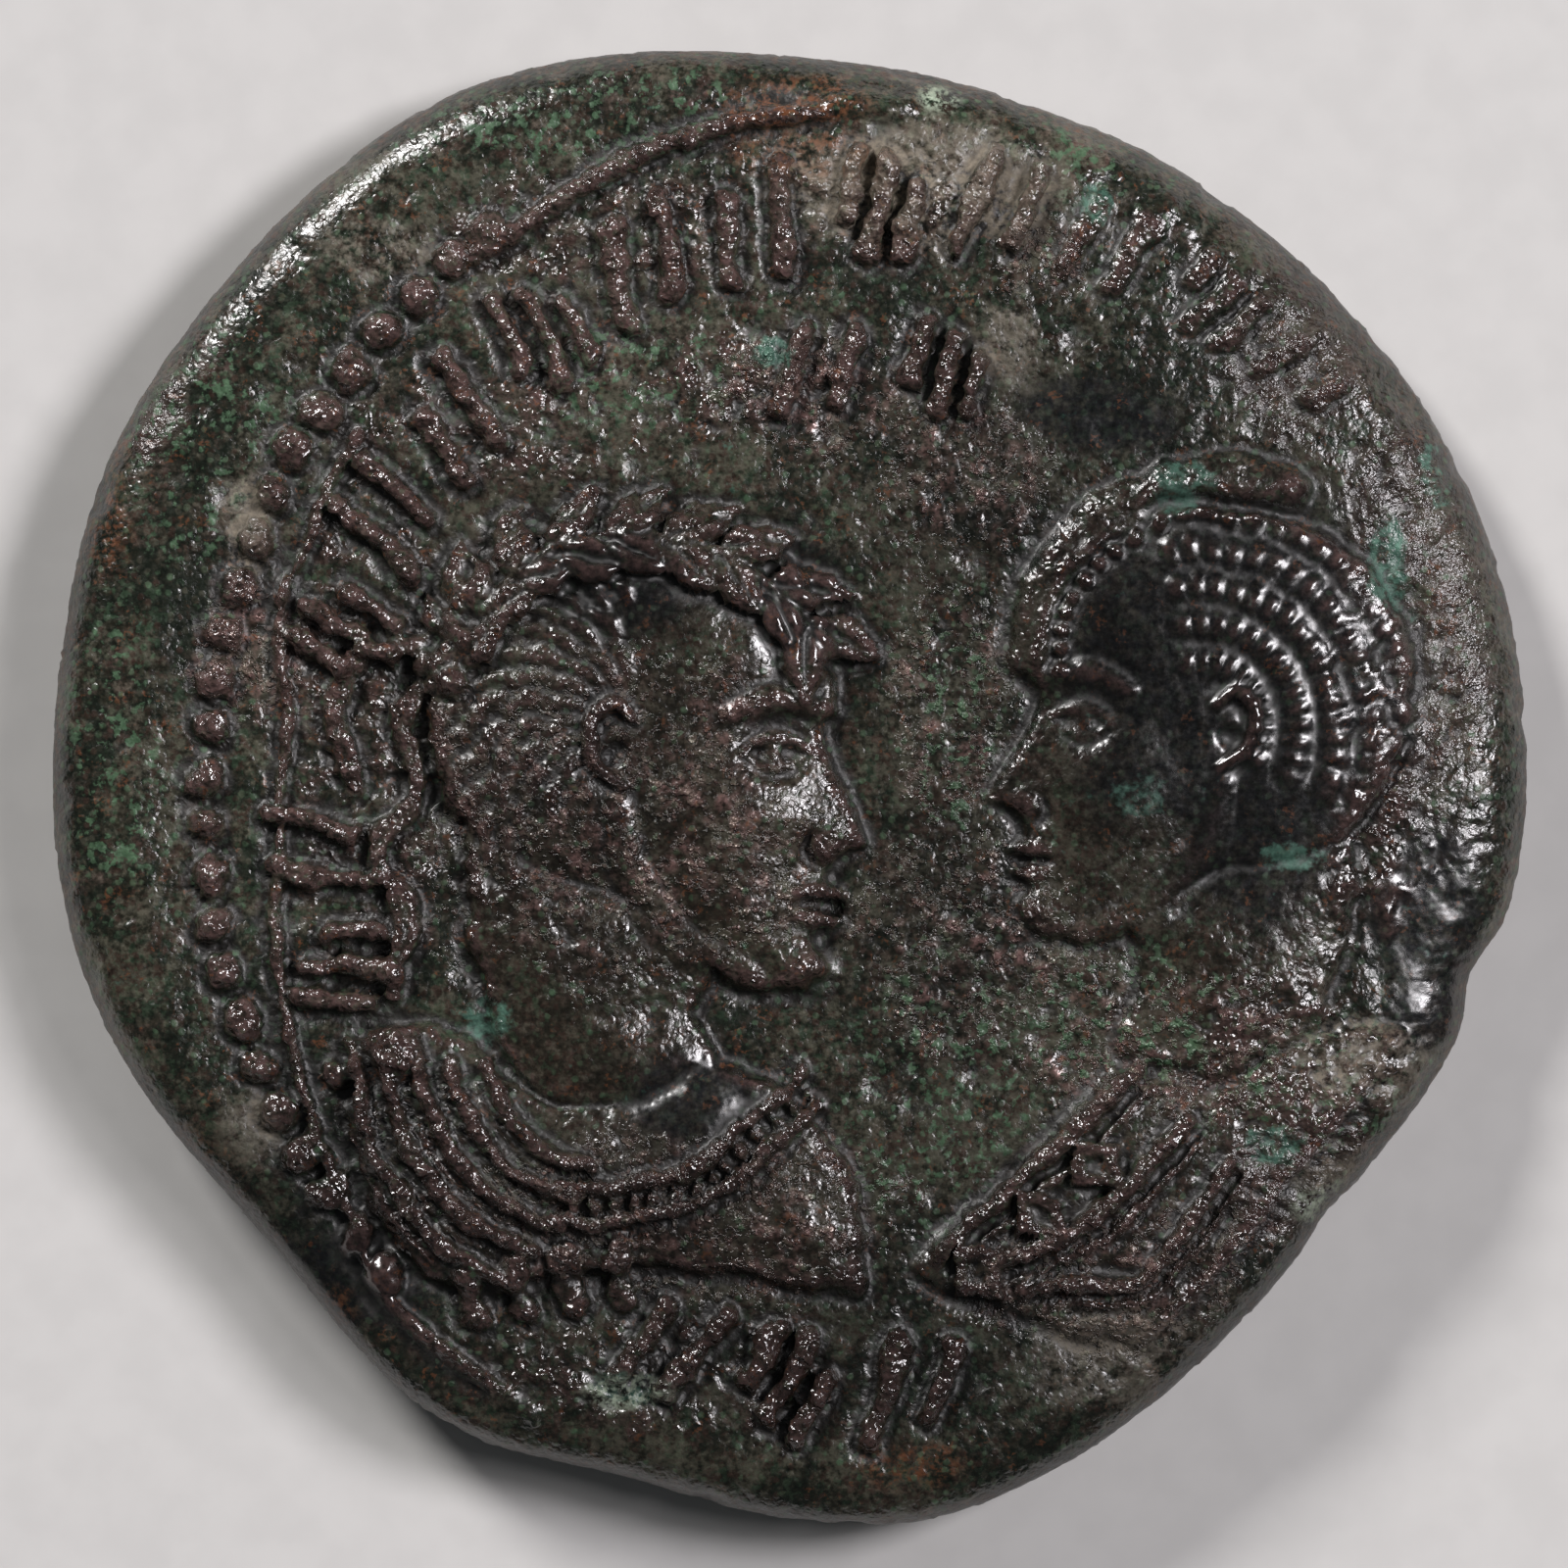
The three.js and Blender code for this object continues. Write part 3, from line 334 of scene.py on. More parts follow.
# A plain classical head in profile, facing +X, one unit from chin to crown.
head = dict(
    outline=[(0.02, 0.5), (0.22, 0.455), (0.35, 0.345), (0.395, 0.215), (0.405, 0.1), (0.388, 0.045),
             (0.42, -0.04), (0.468, -0.135), (0.482, -0.18), (0.42, -0.222), (0.41, -0.25), (0.43, -0.283),
             (0.408, -0.312), (0.42, -0.342), (0.388, -0.378), (0.4, -0.435), (0.355, -0.492), (0.24, -0.5),
             (0.08, -0.43), (-0.04, -0.34), (-0.2, -0.32), (-0.36, -0.2), (-0.455, 0.02), (-0.44, 0.22),
             (-0.33, 0.4), (-0.16, 0.48)],
    bumps=[((0.2, -0.14), 0.16, 0.1),  # cheek
           ((0.27, 0.005), 0.085, -0.13),  # eye socket
           ((0.275, 0.0), 0.042, 0.14),  # eyeball
           ((0.29, 0.0), 0.014, -0.05),  # drilled pupil
           ((0.395, -0.185), 0.045, 0.12),  # wing of the nose
           ((0.35, -0.435), 0.075, 0.12),  # chin
           ((-0.05, -0.02), 0.035, -0.12)],  # hollow of the ear
    lines=[([(0.21, 0.0), (0.27, 0.035), (0.345, 0.01)], 0.018, 0.1),  # upper lid
           ([(0.21, -0.005), (0.27, -0.035), (0.335, -0.01)], 0.014, 0.07),  # lower lid
           ([(0.17, 0.07), (0.27, 0.11), (0.385, 0.085)], 0.036, 0.12),  # brow
           ([(0.355, -0.17), (0.345, -0.205), (0.37, -0.23)], 0.018, -0.07),  # crease beside the nose
           ([(0.33, -0.31), (0.37, -0.307), (0.42, -0.312)], 0.014, -0.12),  # mouth
           ([(0.33, -0.285), (0.38, -0.278), (0.425, -0.288)], 0.022, 0.08),  # upper lip
           ([(0.34, -0.335), (0.375, -0.342), (0.415, -0.34)], 0.025, 0.09),  # lower lip
           ([(0.26, -0.47), (0.1, -0.4), (-0.01, -0.26), (-0.04, -0.12)], 0.05, 0.1),  # jaw
           ([(-0.02, 0.05), (-0.06, 0.08), (-0.105, 0.04), (-0.09, -0.04), (-0.03, -0.09)],
            0.024, 0.18)],  # ear
    lineTaper=0.35,
)

dress = dict(
    wreath=[(-0.4, 0.1), (-0.36, 0.24), (-0.24, 0.37), (-0.06, 0.425), (0.12, 0.405), (0.27, 0.33),
            (0.37, 0.2)],
    wreathPairs=9, stemWide=0.16, stemHeight=0.2,
    leafLong=1.6, leafWide=0.46, leafSplay=30, leafHeight=0.3, leafVein=0.3,
    berries=[(-5.95, 2.75), (-6.65, 2.35), (-6.15, 2.0)], berrySize=0.42, berryHeight=0.34,
    ribbons=[[(-6.1, 2.4), (-7.1, 1.4), (-6.8, 0.1), (-7.5, -1.1), (-6.9, -2.3), (-7.3, -3.5)],
             [(-6.4, 2.7), (-7.8, 2.4), (-8.3, 1.2), (-7.9, 0.2)]],
    ribbonWide=0.3, ribbonHeight=0.26, creaseWide=0.09, creaseDepth=-0.08,
    shortHair=dict(centre=(-0.03, 0.04), rings=5, first=0.1, step=0.075, start=92, end=230, locks=15,
                   halfWidth=0.17, height=0.06),
    shoulder=dict(at=(-3.4, -4.7), radius=2.1, step=0.62, count=5, start=186, end=262,
                  halfWidth=0.27, height=0.25, between=0.3, smallWidth=0.11, smallHeight=0.1),
    collar=dict(at=(-3.6, -2.9), radius=4.3, step=0.62, count=2, start=262, end=330,
                halfWidth=0.2, height=0.2, studs=13, studInset=0.31, studSize=0.15, studHeight=0.14),
    lappets=dict(at=(-5.9, -8.75), pitch=0.92, drop=0.12, count=4, long=0.85, lean=0.16,
                 halfWidth=0.32, height=0.2),
    brooch=((-7.2, -4.75), 0.62, 0.3),
    diadem=[(0.4, 0.14), (0.375, 0.3), (0.25, 0.45), (0.05, 0.535), (-0.16, 0.53)],
    diademWide=0.5, diademHeight=0.24, diademBeads=15, beadSize=0.17, beadHeight=0.12, beadInset=0.62,
    wavyHair=dict(centre=(0.02, 0), waves=5, first=0.14, step=0.083, start=80, end=205,
                  halfWidth=0.31, height=0.06, crimps=20),
    mantle=dict(start=(2.75, -8.5), end=(6.4, -5.1), count=3, gap=1.15, halfWidth=0.26, height=0.23,
                between=0.42, smallWidth=0.12, smallHeight=0.1),
    lozenges=dict(start=(3.5, -8.8), end=(5.6, -6.8), count=3, size=0.62, height=0.22, turn=43),
)


def placer(at):
    c, s = math.cos(at["tilt"] * degrees), math.sin(at["tilt"] * degrees)

    def place(point):
        x, y = point
        return (at["x"] + at["size"] * at["facing"] * (x * c - y * s), at["y"] + at["size"] * (x * s + y * c))

    return place


def headForms(at, share):
    place = placer(at)
    forms = [body([place(point) for point in head["outline"]], obverse["headRelief"], share)]
    forms += [bump(place(spot), reach * at["size"], height, share) for spot, reach, height in head["bumps"]]
    for path, halfWidth, height in head["lines"]:
        path = curve([place(point) for point in path], False, 5)
        forms.append(line(path, halfWidth * at["size"], height, share, taper=head["lineTaper"]))
    return forms


# two or three parallel slanted strokes, never crossing and each a little longer or shorter
def signForms(x, y, turn, index, row, share):
    c, s = math.cos(turn * degrees), math.sin(turn * degrees)

    def place(u, v):
        u, v = u * row["wide"], v * row["tall"]
        return (x + u * c - v * s, y + u * s + v * c)

    lean = 0.3
    strokes = [[(-0.24, -0.42, 0.4), (0.26, -0.3, 0.42)],
               [(-0.3, -0.1, 0.42), (0.02, -0.42, 0.3), (0.34, -0.42, 0.05)],
               [(-0.26, -0.42, 0.2), (0.24, -0.42, 0.42)]][index % 3]
    forms = []
    for middle, low, high in strokes:
        path = [place(middle + lean * v, v) for v in (low, high)]
        forms.append(line(path, row["stroke"], row["height"], share, power=0.9))
    return forms


def signRow(centre, row):
    forms = []
    for start, end in row["arcs"]:
        for i in range(int((end - start) / row["pitch"]) + 1):
            angle = start + i * row["pitch"]
            share = row["faintShare"] if angle < row["faintUntil"] else 1
            forms += signForms(*polar(centre, row["radius"], angle), angle - 90, i, row, share)
    return forms


def borderForms():
    die, beads, border = obverse["die"], obverse["beads"], obverse["border"]
    path = arc(die, border["radius"], border["start"], border["end"], 60)
    forms = [line(path, border["halfWidth"], border["height"])]
    inner = obverse["innerLine"]
    forms.append(line(curve(inner["path"], False, 6), inner["halfWidth"], inner["height"]))
    for angle in np.arange(beads["start"], beads["end"], beads["pitch"]):
        forms.append(bump(polar(die, beads["radius"], angle), beads["size"], beads["height"], power=0.8))
    return forms


def wreathForms(place):
    path = curve([place(point) for point in dress["wreath"]], False, 8)
    forms = [line(path, dress["stemWide"], dress["stemHeight"])]
    for i in range(dress["wreathPairs"]):
        at = round((i + 0.3) / dress["wreathPairs"] * (len(path) - 2))
        heading = math.atan2(*(path[at + 1] - path[at])[::-1]) / degrees
        for side in (-1, 1):
            forms.append(leaf(path[at], heading + side * dress["leafSplay"], dress["leafLong"],
                              dress["leafWide"], dress["leafHeight"], dress["leafVein"]))
    return forms


def shortHairForms(place):
    hair = dress["shortHair"]
    forms = []
    for ring in range(hair["rings"]):
        radius = hair["first"] + ring * hair["step"]
        locks = round(hair["locks"] * (0.5 + 0.14 * ring))
        for i in range(locks):
            angle = hair["start"] + (hair["end"] - hair["start"]) * (i + 0.5 * (ring % 2)) / locks
            lock = [polar(hair["centre"], radius + hair["step"] * out, angle + turn)
                    for out, turn in ((0, 0), (0.5, 3), (0.95, 12))]
            forms.append(line([place(point) for point in lock], hair["halfWidth"], hair["height"], taper=0.4))
    return forms


def wavyHairForms(place):
    hair = dress["wavyHair"]
    forms = []
    for wave in range(hair["waves"]):
        path = arc(hair["centre"], hair["first"] + wave * hair["step"], hair["start"], hair["end"], 24)
        forms.append(line([place(point) for point in path], hair["halfWidth"], hair["height"],
                          crimp=hair["crimps"] * (0.5 + 0.14 * wave)))
    return forms


def diademForms(place):
    path = curve([place(point) for point in dress["diadem"]], False, 8)
    forms = [line(path, dress["diademWide"], dress["diademHeight"])]
    at = obverse["rightHead"]
    for i in range(dress["diademBeads"]):
        x, y = path[round(i / (dress["diademBeads"] - 1) * (len(path) - 1))]
        inward = math.atan2(at["y"] - y, at["x"] - x) / degrees
        bead = polar((x, y), dress["beadInset"], inward)
        forms.append(bump(bead, dress["beadSize"], dress["beadHeight"], power=0.8))
    return forms


def leftDressForms():
    forms = []
    fold = dress["shoulder"]
    for i in range(fold["count"]):
        radius = fold["radius"] + i * fold["step"]
        start, end = fold["start"] - 2 * i, fold["end"] - 3 * i
        path = arc(fold["at"], radius, start, end, 16)
        small = arc(fold["at"], radius + fold["between"], start + 9, end - 12, 12)
        forms.append(line(path, fold["halfWidth"], fold["height"], taper=0.3))
        forms.append(line(small, fold["smallWidth"], fold["smallHeight"], taper=0.5))
    ring = dress["collar"]
    for i in range(ring["count"]):
        path = arc(ring["at"], ring["radius"] + i * ring["step"], ring["start"], ring["end"] - 4 * i, 16)
        forms.append(line(path, ring["halfWidth"], ring["height"]))
    between = ring["radius"] + ring["studInset"]
    for spot in arc(ring["at"], between, ring["start"] + 3, ring["end"] - 4, ring["studs"]):
        forms.append(bump(spot, ring["studSize"], ring["studHeight"], power=0.8))
    strip = dress["lappets"]
    for i in range(strip["count"]):
        x, y = strip["at"][0] + i * strip["pitch"], strip["at"][1] + i * strip["drop"]
        path = [(x, y), (x + strip["lean"], y - strip["long"])]
        forms.append(line(path, strip["halfWidth"], strip["height"], power=0.9))
    forms.append(bump(*dress["brooch"], power=1))
    return forms


def rightDressForms():
    fold = dress["mantle"]
    start, end = np.array(fold["start"]), np.array(fold["end"])
    along = (end - start) / np.hypot(*(end - start))
    normal = np.array([along[1], -along[0]])
    forms = []
    for i in range(fold["count"]):
        shift = i * fold["gap"]
        path = curve([start + normal * (shift, 0.35 * shift), (start + end) / 2 + normal * 1.18 * shift,
                      end + normal * shift], False, 8)
        forms.append(line(path, fold["halfWidth"], fold["height"], taper=0.2))
        small = path + normal * fold["between"]
        forms.append(line(small, fold["smallWidth"], fold["smallHeight"], taper=0.5))
    gem = dress["lozenges"]
    for i in range(gem["count"]):
        t = i / (gem["count"] - 1)
        at = [a + t * (b - a) for a, b in zip(gem["start"], gem["end"])]
        forms.append(lozenge(at, gem["size"], gem["height"], gem["turn"]))
    return forms


def obverseForms():
    left, right = placer(obverse["leftHead"]), placer(obverse["rightHead"])
    wear = obverse["rightWear"]
    row = obverse["upperSigns"]
    ribbons = [curve(path, False, 6) for path in dress["ribbons"]]
    signs = signRow(obverse["die"], obverse["signs"])
    for i in range(row["count"]):
        signs += signForms(row["x"] + i * row["pitch"], row["y"], 0, i, row, 1)
    return [
        bundle(borderForms() + signs),
        body(obverse["rightNeck"], obverse["neckRelief"], wear),
        body(obverse["rightBust"], obverse["bustRelief"], wear),
        *headForms(obverse["rightHead"], wear),
        bundle(diademForms(right) + wavyHairForms(right)),
        bundle(rightDressForms()),
        body(obverse["leftNeck"], obverse["neckRelief"]),
        body(obverse["leftBust"], obverse["bustRelief"]),
        *headForms(obverse["leftHead"], 1),
        bundle(shortHairForms(left) + wreathForms(left)
               + [line(path, dress["ribbonWide"], dress["ribbonHeight"]) for path in ribbons]
               + [bump(spot, dress["berrySize"], dress["berryHeight"], power=1)
                  for spot in dress["berries"]]),
        *[line(path, dress["creaseWide"], dress["creaseDepth"]) for path in ribbons],
        bundle(leftDressForms()),
    ]


# reverse: a worn standing figure inside a broad flat rim

reverse = dict(
    die=(-0.5, 0.35), rimMiddle=0.885, rimHalfWidth=0.1, rimHeight=1.1,
    head=[(-0.95, 6.4), (-0.85, 7.4), (0, 7.9), (0.9, 7.35), (0.9, 6.5), (0.4, 5.6), (-0.45, 5.6)],
    neck=[(-0.6, 6.2), (-0.7, 4.8), (0.7, 4.8), (0.6, 6.2)],
    body=[(-1.7, 4.9), (-1.75, 2.9), (-1.35, 0.9), (-1.9, -2.6), (-2.5, -6.6), (2.3, -6.6), (2.0, -2.8),
          (1.4, 0.9), (1.8, 2.9), (1.7, 4.9)],
    relief=(0.2, 0.38, 0.85),
    arms=[[(1.5, 4.4), (3.0, 2.9), (4.6, 3.6)], [(-1.5, 4.3), (-3.0, 3.1), (-3.8, 4.9)]],
    armWide=0.55, armHeight=0.36,
    staff=(-3.9, -6.5, 7.6, 0.27, 0.27),  # place, foot, top, half width, height
    bowl=((5.0, 3.7), 0.85, 0.32),  # place, reach, height
    folds=4, foldSpread=0.75, foldFlare=1.7, foldTop=-1.2, foldBottom=-6.3, foldWide=0.34,
    foldDepth=-0.34, sashDrops=(0, 1.25), sashWide=0.3, sashDepth=-0.32,
    ground=(-7.3, 6.0, 0.24, 0.28),  # level, reach to each side, half width, height
    signs=dict(radius=8.3, pitch=16, arcs=[(-40, 40), (140, 220)], tall=1.7, wide=1.3, stroke=0.3,
               height=0.23, faintUntil=-90, faintShare=1),
)


def reverseForms():
    cx, cy = reverse["die"]

    def onDie(points):
        return [(cx + x, cy + y) for x, y in points]

    staffX, staffLow, staffHigh, staffWide, staffHeight = reverse["staff"]
    groundY, groundReach, groundWide, groundHeight = reverse["ground"]
    bowlAt, bowlSize, bowlHeight = reverse["bowl"]
    forms = [
        line(onDie([(staffX, staffLow), (staffX, staffHigh)]), staffWide, staffHeight),
        line(onDie([(-groundReach, groundY), (groundReach, groundY)]), groundWide, groundHeight),
        bump(onDie([bowlAt])[0], bowlSize, bowlHeight),
        *signRow(reverse["die"], reverse["signs"]),
        *[line(curve(onDie(path), False, 5), reverse["armWide"], reverse["armHeight"])
          for path in reverse["arms"]],
        body(onDie(reverse["neck"]), reverse["relief"], 0.7),
        body(onDie(reverse["head"]), reverse["relief"], 0.9),
        body(onDie(reverse["body"]), reverse["relief"]),
    ]
    for i in range(reverse["folds"]):
        side = i - (reverse["folds"] - 1) / 2
        top = (side * reverse["foldSpread"], reverse["foldTop"] - 0.4 * abs(side))
        foot = (side * reverse["foldSpread"] * reverse["foldFlare"], reverse["foldBottom"])
        forms.append(line(onDie([top, foot]), reverse["foldWide"], reverse["foldDepth"], power=2))
    for drop in reverse["sashDrops"]:
        path = onDie([(-1.5, 4.4 - drop), (-0.3, 3.2 - drop), (1.4, 3.1 - 0.6 * drop)])
        forms.append(line(curve(path, False, 5), reverse["sashWide"], reverse["sashDepth"], power=2))
    return forms


# wear and corrosion, lighter and darker patches and a painted highlight: where each kind lies on the obverse,
# as (x, y, reach x, reach y)

surface = dict(
    smooth=[(-3.1, 3.9, 1.7, 1.3), (0.1, 3.2, 1.1, 1.6), (8.2, 1.8, 3.9, 4.6), (5.6, 6.9, 2.0, 0.9),
            (-1.9, -5.6, 1.6, 1.0), (11.6, -2.6, 1.2, 2.6), (-8.5, -9.0, 2.4, 1.2)],
    grainy=[(-3.0, -0.4, 4.0, 3.3), (-2.1, -7.7, 4.0, 1.8), (3.2, -2.6, 2.2, 2.2), (0.5, 7.2, 2.2, 1.2),
            (6.8, -4.6, 2.6, 1.6), (6.0, -8.8, 3.4, 1.6), (3.4, 5.8, 1.7, 1.5), (2.9, 1.6, 1.3, 2.6),
            (-9.8, 2.6, 1.1, 1.4), (4.6, 9.6, 1.2, 1.0)],
    crinkled=[(-7.9, 1.2, 1.5, 5.0), (-7.0, -6.4, 1.4, 2.6), (-5.2, 6.6, 3.0, 1.2), (-3.4, 10.4, 3.6, 1.5),
              (1.6, 10.6, 2.6, 1.2), (-1.0, 7.4, 2.6, 1.2), (-2.4, -10.6, 4.0, 1.3), (9.0, -5.2, 2.4, 1.8),
              (10.6, -1.0, 1.0, 2.0)],
    lumpy=[(11.4, 3.0, 1.9, 5.0), (9.4, 8.0, 1.6, 2.0), (-11.6, 7.4, 0.9, 1.8), (9.4, -7.0, 2.4, 1.2),
           (12.2, -4.0, 0.8, 1.6)],
    green=[(2.8, -5.5, 2.0, 3.3), (-2.4, 12.8, 1.8, 0.6), (-10.6, 6.4, 1.6, 3.0), (-2.6, 7.6, 2.4, 1.2),
           (6.2, -4.2, 3.0, 1.5), (-4.4, 12.2, 2.6, 1.0), (5.6, 11.6, 1.6, 1.2), (-12.3, 0.4, 0.9, 3.6),
           (3.0, 1.2, 1.0, 3.0), (9.5, -5.5, 2.2, 1.4)],
    teal=[(7.2, 5.6, 0.9, 0.7), (6.5, -0.1, 0.7, 0.6), (-5.5, -4.1, 0.6, 0.5), (8.8, -6.4, 0.8, 0.5),
          (11.9, 5.9, 0.5, 1.0), (-0.3, 8.0, 0.5, 0.4), (-3.0, -10.8, 0.8, 0.4), (5.6, 10.7, 0.5, 0.6),
          (10.9, 4.2, 0.6, 1.0), (9.2, -1.2, 0.8, 0.3)],
    soil=[(2.6, 10.9, 3.0, 1.3), (4.1, 8.3, 0.7, 1.2), (-7.7, 9.9, 1.1, 0.8), (6.1, -10.3, 2.2, 1.1),
          (-9.9, -6.3, 0.7, 0.8), (10.2, -7.2, 0.9, 0.9), (-9.9, 4.8, 0.6, 1.2), (10.4, -4.9, 1.4, 0.8)],
    copper=[(-10.9, -7.3, 0.9, 1.3), (-12.6, 5.6, 0.7, 2.0), (2.4, -12.3, 1.1, 0.5), (-8.9, -9.6, 1.2, 0.7),
            (0.4, 11.6, 1.4, 0.5), (0.2, 12.6, 1.6, 0.5)],
    pale=[(2.75, 12.7, 0.5, 0.3), (10.1, -7.6, 0.9, 0.5), (-3.0, -10.9, 0.8, 0.35), (9.0, -9.4, 0.5, 0.4)],
    # lighter patches; the one on the right rim at (11.6, 3.5) is a painted highlight
    lighterAndHighlight=[(-5.0, 9.0, 5.0, 3.4), (2.0, 11.2, 5.0, 2.0), (11.6, 3.5, 1.6, 4.0), (-9.5, -1.0, 2.0, 4.0)],
    # darker patches of the colour
    dark=[(2.0, -9.6, 9.0, 3.6), (-8.6, -7.6, 3.4, 3.0), (6.8, 2.0, 4.6, 5.4), (-2.0, -7.6, 4.4, 2.4),
          (3.0, -2.4, 2.0, 4.4), (-3.0, 3.6, 2.4, 2.0), (3.8, 5.0, 2.4, 2.8), (-4.0, -0.4, 3.2, 3.4)],
    faces=[(0.15, -0.05, 0.42)],  # in head units: the faces stay clearer than the rest
    # heights, and how far apart each kind lies
    warp=0.19, warpSize=0.9, swell=0.035, swellSize=2.3, rough=0.012, roughSize=0.4,
    ridge=0.07, ridgeSize=1.15, fineRidge=0.05, fineRidgeSize=0.6, grain=0.038, grainSize=0.28,
    pit=0.07, pitSize=0.62, edgePit=0.11, edgePitSize=1.3, facet=0.125, facetSize=0.36, smallFacetSize=0.2,
    crispTop=0.35, crispFoot=1.5,  # how much further the tops of the relief rise and its feet sink
    proud=0.03,  # how far the crust may stand above the solid
)


def patches(spots, x, y):
    best = np.zeros(x.shape)
    for x0, y0, reachX, reachY in spots:
        best = np.maximum(best, np.exp(-((x - x0) / reachX) ** 2 - ((y - y0) / reachY) ** 2))
    return best


def faceShare(x, y):
    best = np.zeros(x.shape)
    for at in (obverse["leftHead"], obverse["rightHead"]):
        for u, v, reach in surface["faces"]:
            x0, y0 = placer(at)((u, v))
            best = np.maximum(best, smoothStep(1.1, 0.8, np.hypot(x - x0, y - y0) / (reach * at["size"])))
    return best


def obverseHeight(x, y):
    fromDie = np.hypot(x - obverse["die"][0], y - obverse["die"][1])
    start, end, height = obverse["margin"]
    flat = np.stack([x, y, 0 * x], axis=1)
    ragged = surface["warp"] * (1 - 0.75 * faceShare(x, y))  # makes struck outlines uneven
    sway, lift = (ragged * roughNoise(flat, surface["warpSize"], 3, seed) for seed in (11, 21))
    relief = applyForms(obverseForms(), np.zeros(x.shape), x + sway, y + lift)
    return fieldHeight(x, y) + height * smoothStep(start, end, fromDie) + relief, relief


def reverseHeight(x, y):
    share = np.hypot(x, y) / flanRadius(np.arctan2(y, x) / degrees)
    across = np.clip(np.abs(share - reverse["rimMiddle"]) / reverse["rimHalfWidth"], 0, 1)
    relief = applyForms(reverseForms(), np.zeros(x.shape), x, y)
    height = flan["reverseField"] - relief - reverse["rimHeight"] * (1 - across ** 2) ** 2
    return np.maximum(0, height), relief


# mesh: even rings of triangles on both faces, and bands round the edge

def ringPoints(ring, count, edgeRound):
    angles = 360 * np.arange(6 * ring) / max(6 * ring, 1) - 180 if ring else np.zeros(1)
    radius = (flanRadius(angles) - edgeRound) * ring / count
    return radius * np.cos(angles * degrees), radius * np.sin(angles * degrees)


def diskFaces(rings):
    starts = [0] + [1 + 3 * k * (k - 1) for k in range(1, rings + 1)]
    faces = []
    for ring in range(rings):
        inner, outer = starts[ring], starts[ring + 1]
        innerCount, outerCount = max(6 * ring, 1), 6 * (ring + 1)
        sector, step = np.divmod(np.arange(6 * (ring + 1)), ring + 1)
        a = inner + (sector * ring + step) % innerCount
        b = outer + np.arange(outerCount)
        faces.append(np.stack([a, b, outer + (np.arange(outerCount) + 1) % outerCount], axis=1))
        if ring:
            sector, step = np.divmod(np.arange(6 * ring), ring)
            a = inner + np.arange(6 * ring)
            b = outer + (sector * (ring + 1) + step + 1) % outerCount
            faces.append(np.stack([a, b, inner + (np.arange(6 * ring) + 1) % innerCount], axis=1))
    return np.concatenate(faces)


# a loop of points at one level of the edge: turn runs from 0 on the face to 90 on the widest line
def edgeLoop(heightAt, edgeRound, turn, angles):
    lean = lobe(angles, *flan["lean"])
    fullness = flan["fullness"] + flan["leanFullness"] * lean
    widest = flan["widestAt"] - flan["leanDrop"] * lean
    out = math.sin(turn * degrees) ** (2 / fullness)
    drop = np.clip(math.cos(turn * degrees), 0, 1) ** (2 / fullness)
    radius = flanRadius(angles) - edgeRound * (1 - out)
    x, y = radius * np.cos(angles * degrees), radius * np.sin(angles * degrees)
    return np.stack([x, y, widest + (heightAt(x, y)[0] - widest) * drop], axis=1)


def bandFaces(upper, lower, count):
    here = np.arange(count)
    after = (here + 1) % count
    return np.concatenate([
        np.stack([upper + here, lower + here, lower + after], axis=1),
        np.stack([upper + here, lower + after, upper + after], axis=1),
    ])


# joins a fine loop to a coarser one under it
def zipFaces(upper, upperCount, lower, lowerCount):
    faces, i, j = [], 0, 0
    while i < upperCount or j < lowerCount:
        if j >= lowerCount or (i < upperCount and (i + 1) / upperCount < (j + 1) / lowerCount):
            faces.append((upper + i % upperCount, lower + j % lowerCount, upper + (i + 1) % upperCount))
            i += 1
        else:
            faces.append((upper + i % upperCount, lower + j % lowerCount, lower + (j + 1) % lowerCount))
            j += 1
    return np.array(faces)


def coinShape():
    top, under = flan["obverseRings"], flan["reverseRings"]
    x, y = np.concatenate([ringPoints(k, top, flan["obverseRound"]) for k in range(top + 1)], axis=1)
    z, relief = obverseHeight(x, y)
    points = [np.stack([x, y, z], axis=1)]
    faces = [diskFaces(top)]
    count = 6 * top
    angles = 360 * np.arange(count) / count - 180
    upper = len(x) - count
    placed = len(x)
    bands = [(obverseHeight, flan["obverseRound"], 90 * (k + 1) / flan["obverseBands"])
             for k in range(flan["obverseBands"])]
    bands += [(reverseHeight, flan["reverseRound"], 90 * (1 - (k + 1) / flan["reverseBands"]))
              for k in range(flan["reverseBands"] - 1)]
    for heightAt, edgeRound, turn in bands:
        points.append(edgeLoop(heightAt, edgeRound, turn, angles))
        faces.append(bandFaces(upper, placed, count))
        upper, placed = placed, placed + count
    x, y = np.concatenate([ringPoints(k, under, flan["reverseRound"]) for k in range(under + 1)], axis=1)
    z, underRelief = reverseHeight(x, y)
    points.append(np.stack([x, y, z], axis=1))
    faces.append(diskFaces(under)[:, ::-1] + placed)
    faces.append(zipFaces(upper, count, placed + len(x) - 6 * under, 6 * under))
    relief = np.concatenate([relief, np.zeros(placed - len(relief)), underRelief])
    return np.concatenate(points), np.concatenate(faces), relief


def vertexNormals(points, faces):
    a, b, c = (points[faces[:, k]] for k in range(3))
    across = np.cross(b - a, c - a)
    normals = np.zeros(points.shape)
    for k in range(3):
        np.add.at(normals, faces[:, k], across)
    return normals / np.linalg.norm(normals, axis=1)[:, None]


# values averaged with those of the points around, again and again
def softened(values, faces, passes):
    edges = np.concatenate([faces[:, [0, 1]], faces[:, [1, 2]], faces[:, [2, 0]]])
    count = np.bincount(edges[:, 0], minlength=len(values))
    for _ in range(passes):
        values = 0.3 * values + 0.7 * np.bincount(edges[:, 0], values[edges[:, 1]], len(values)) / count
    return values


# thin ridges that wander where a noise crosses zero
def ridgeNoise(points, size, seed):
    return np.clip(1 - np.abs(roughNoise(points, size, 2, seed)) / 0.16, 0, 1)


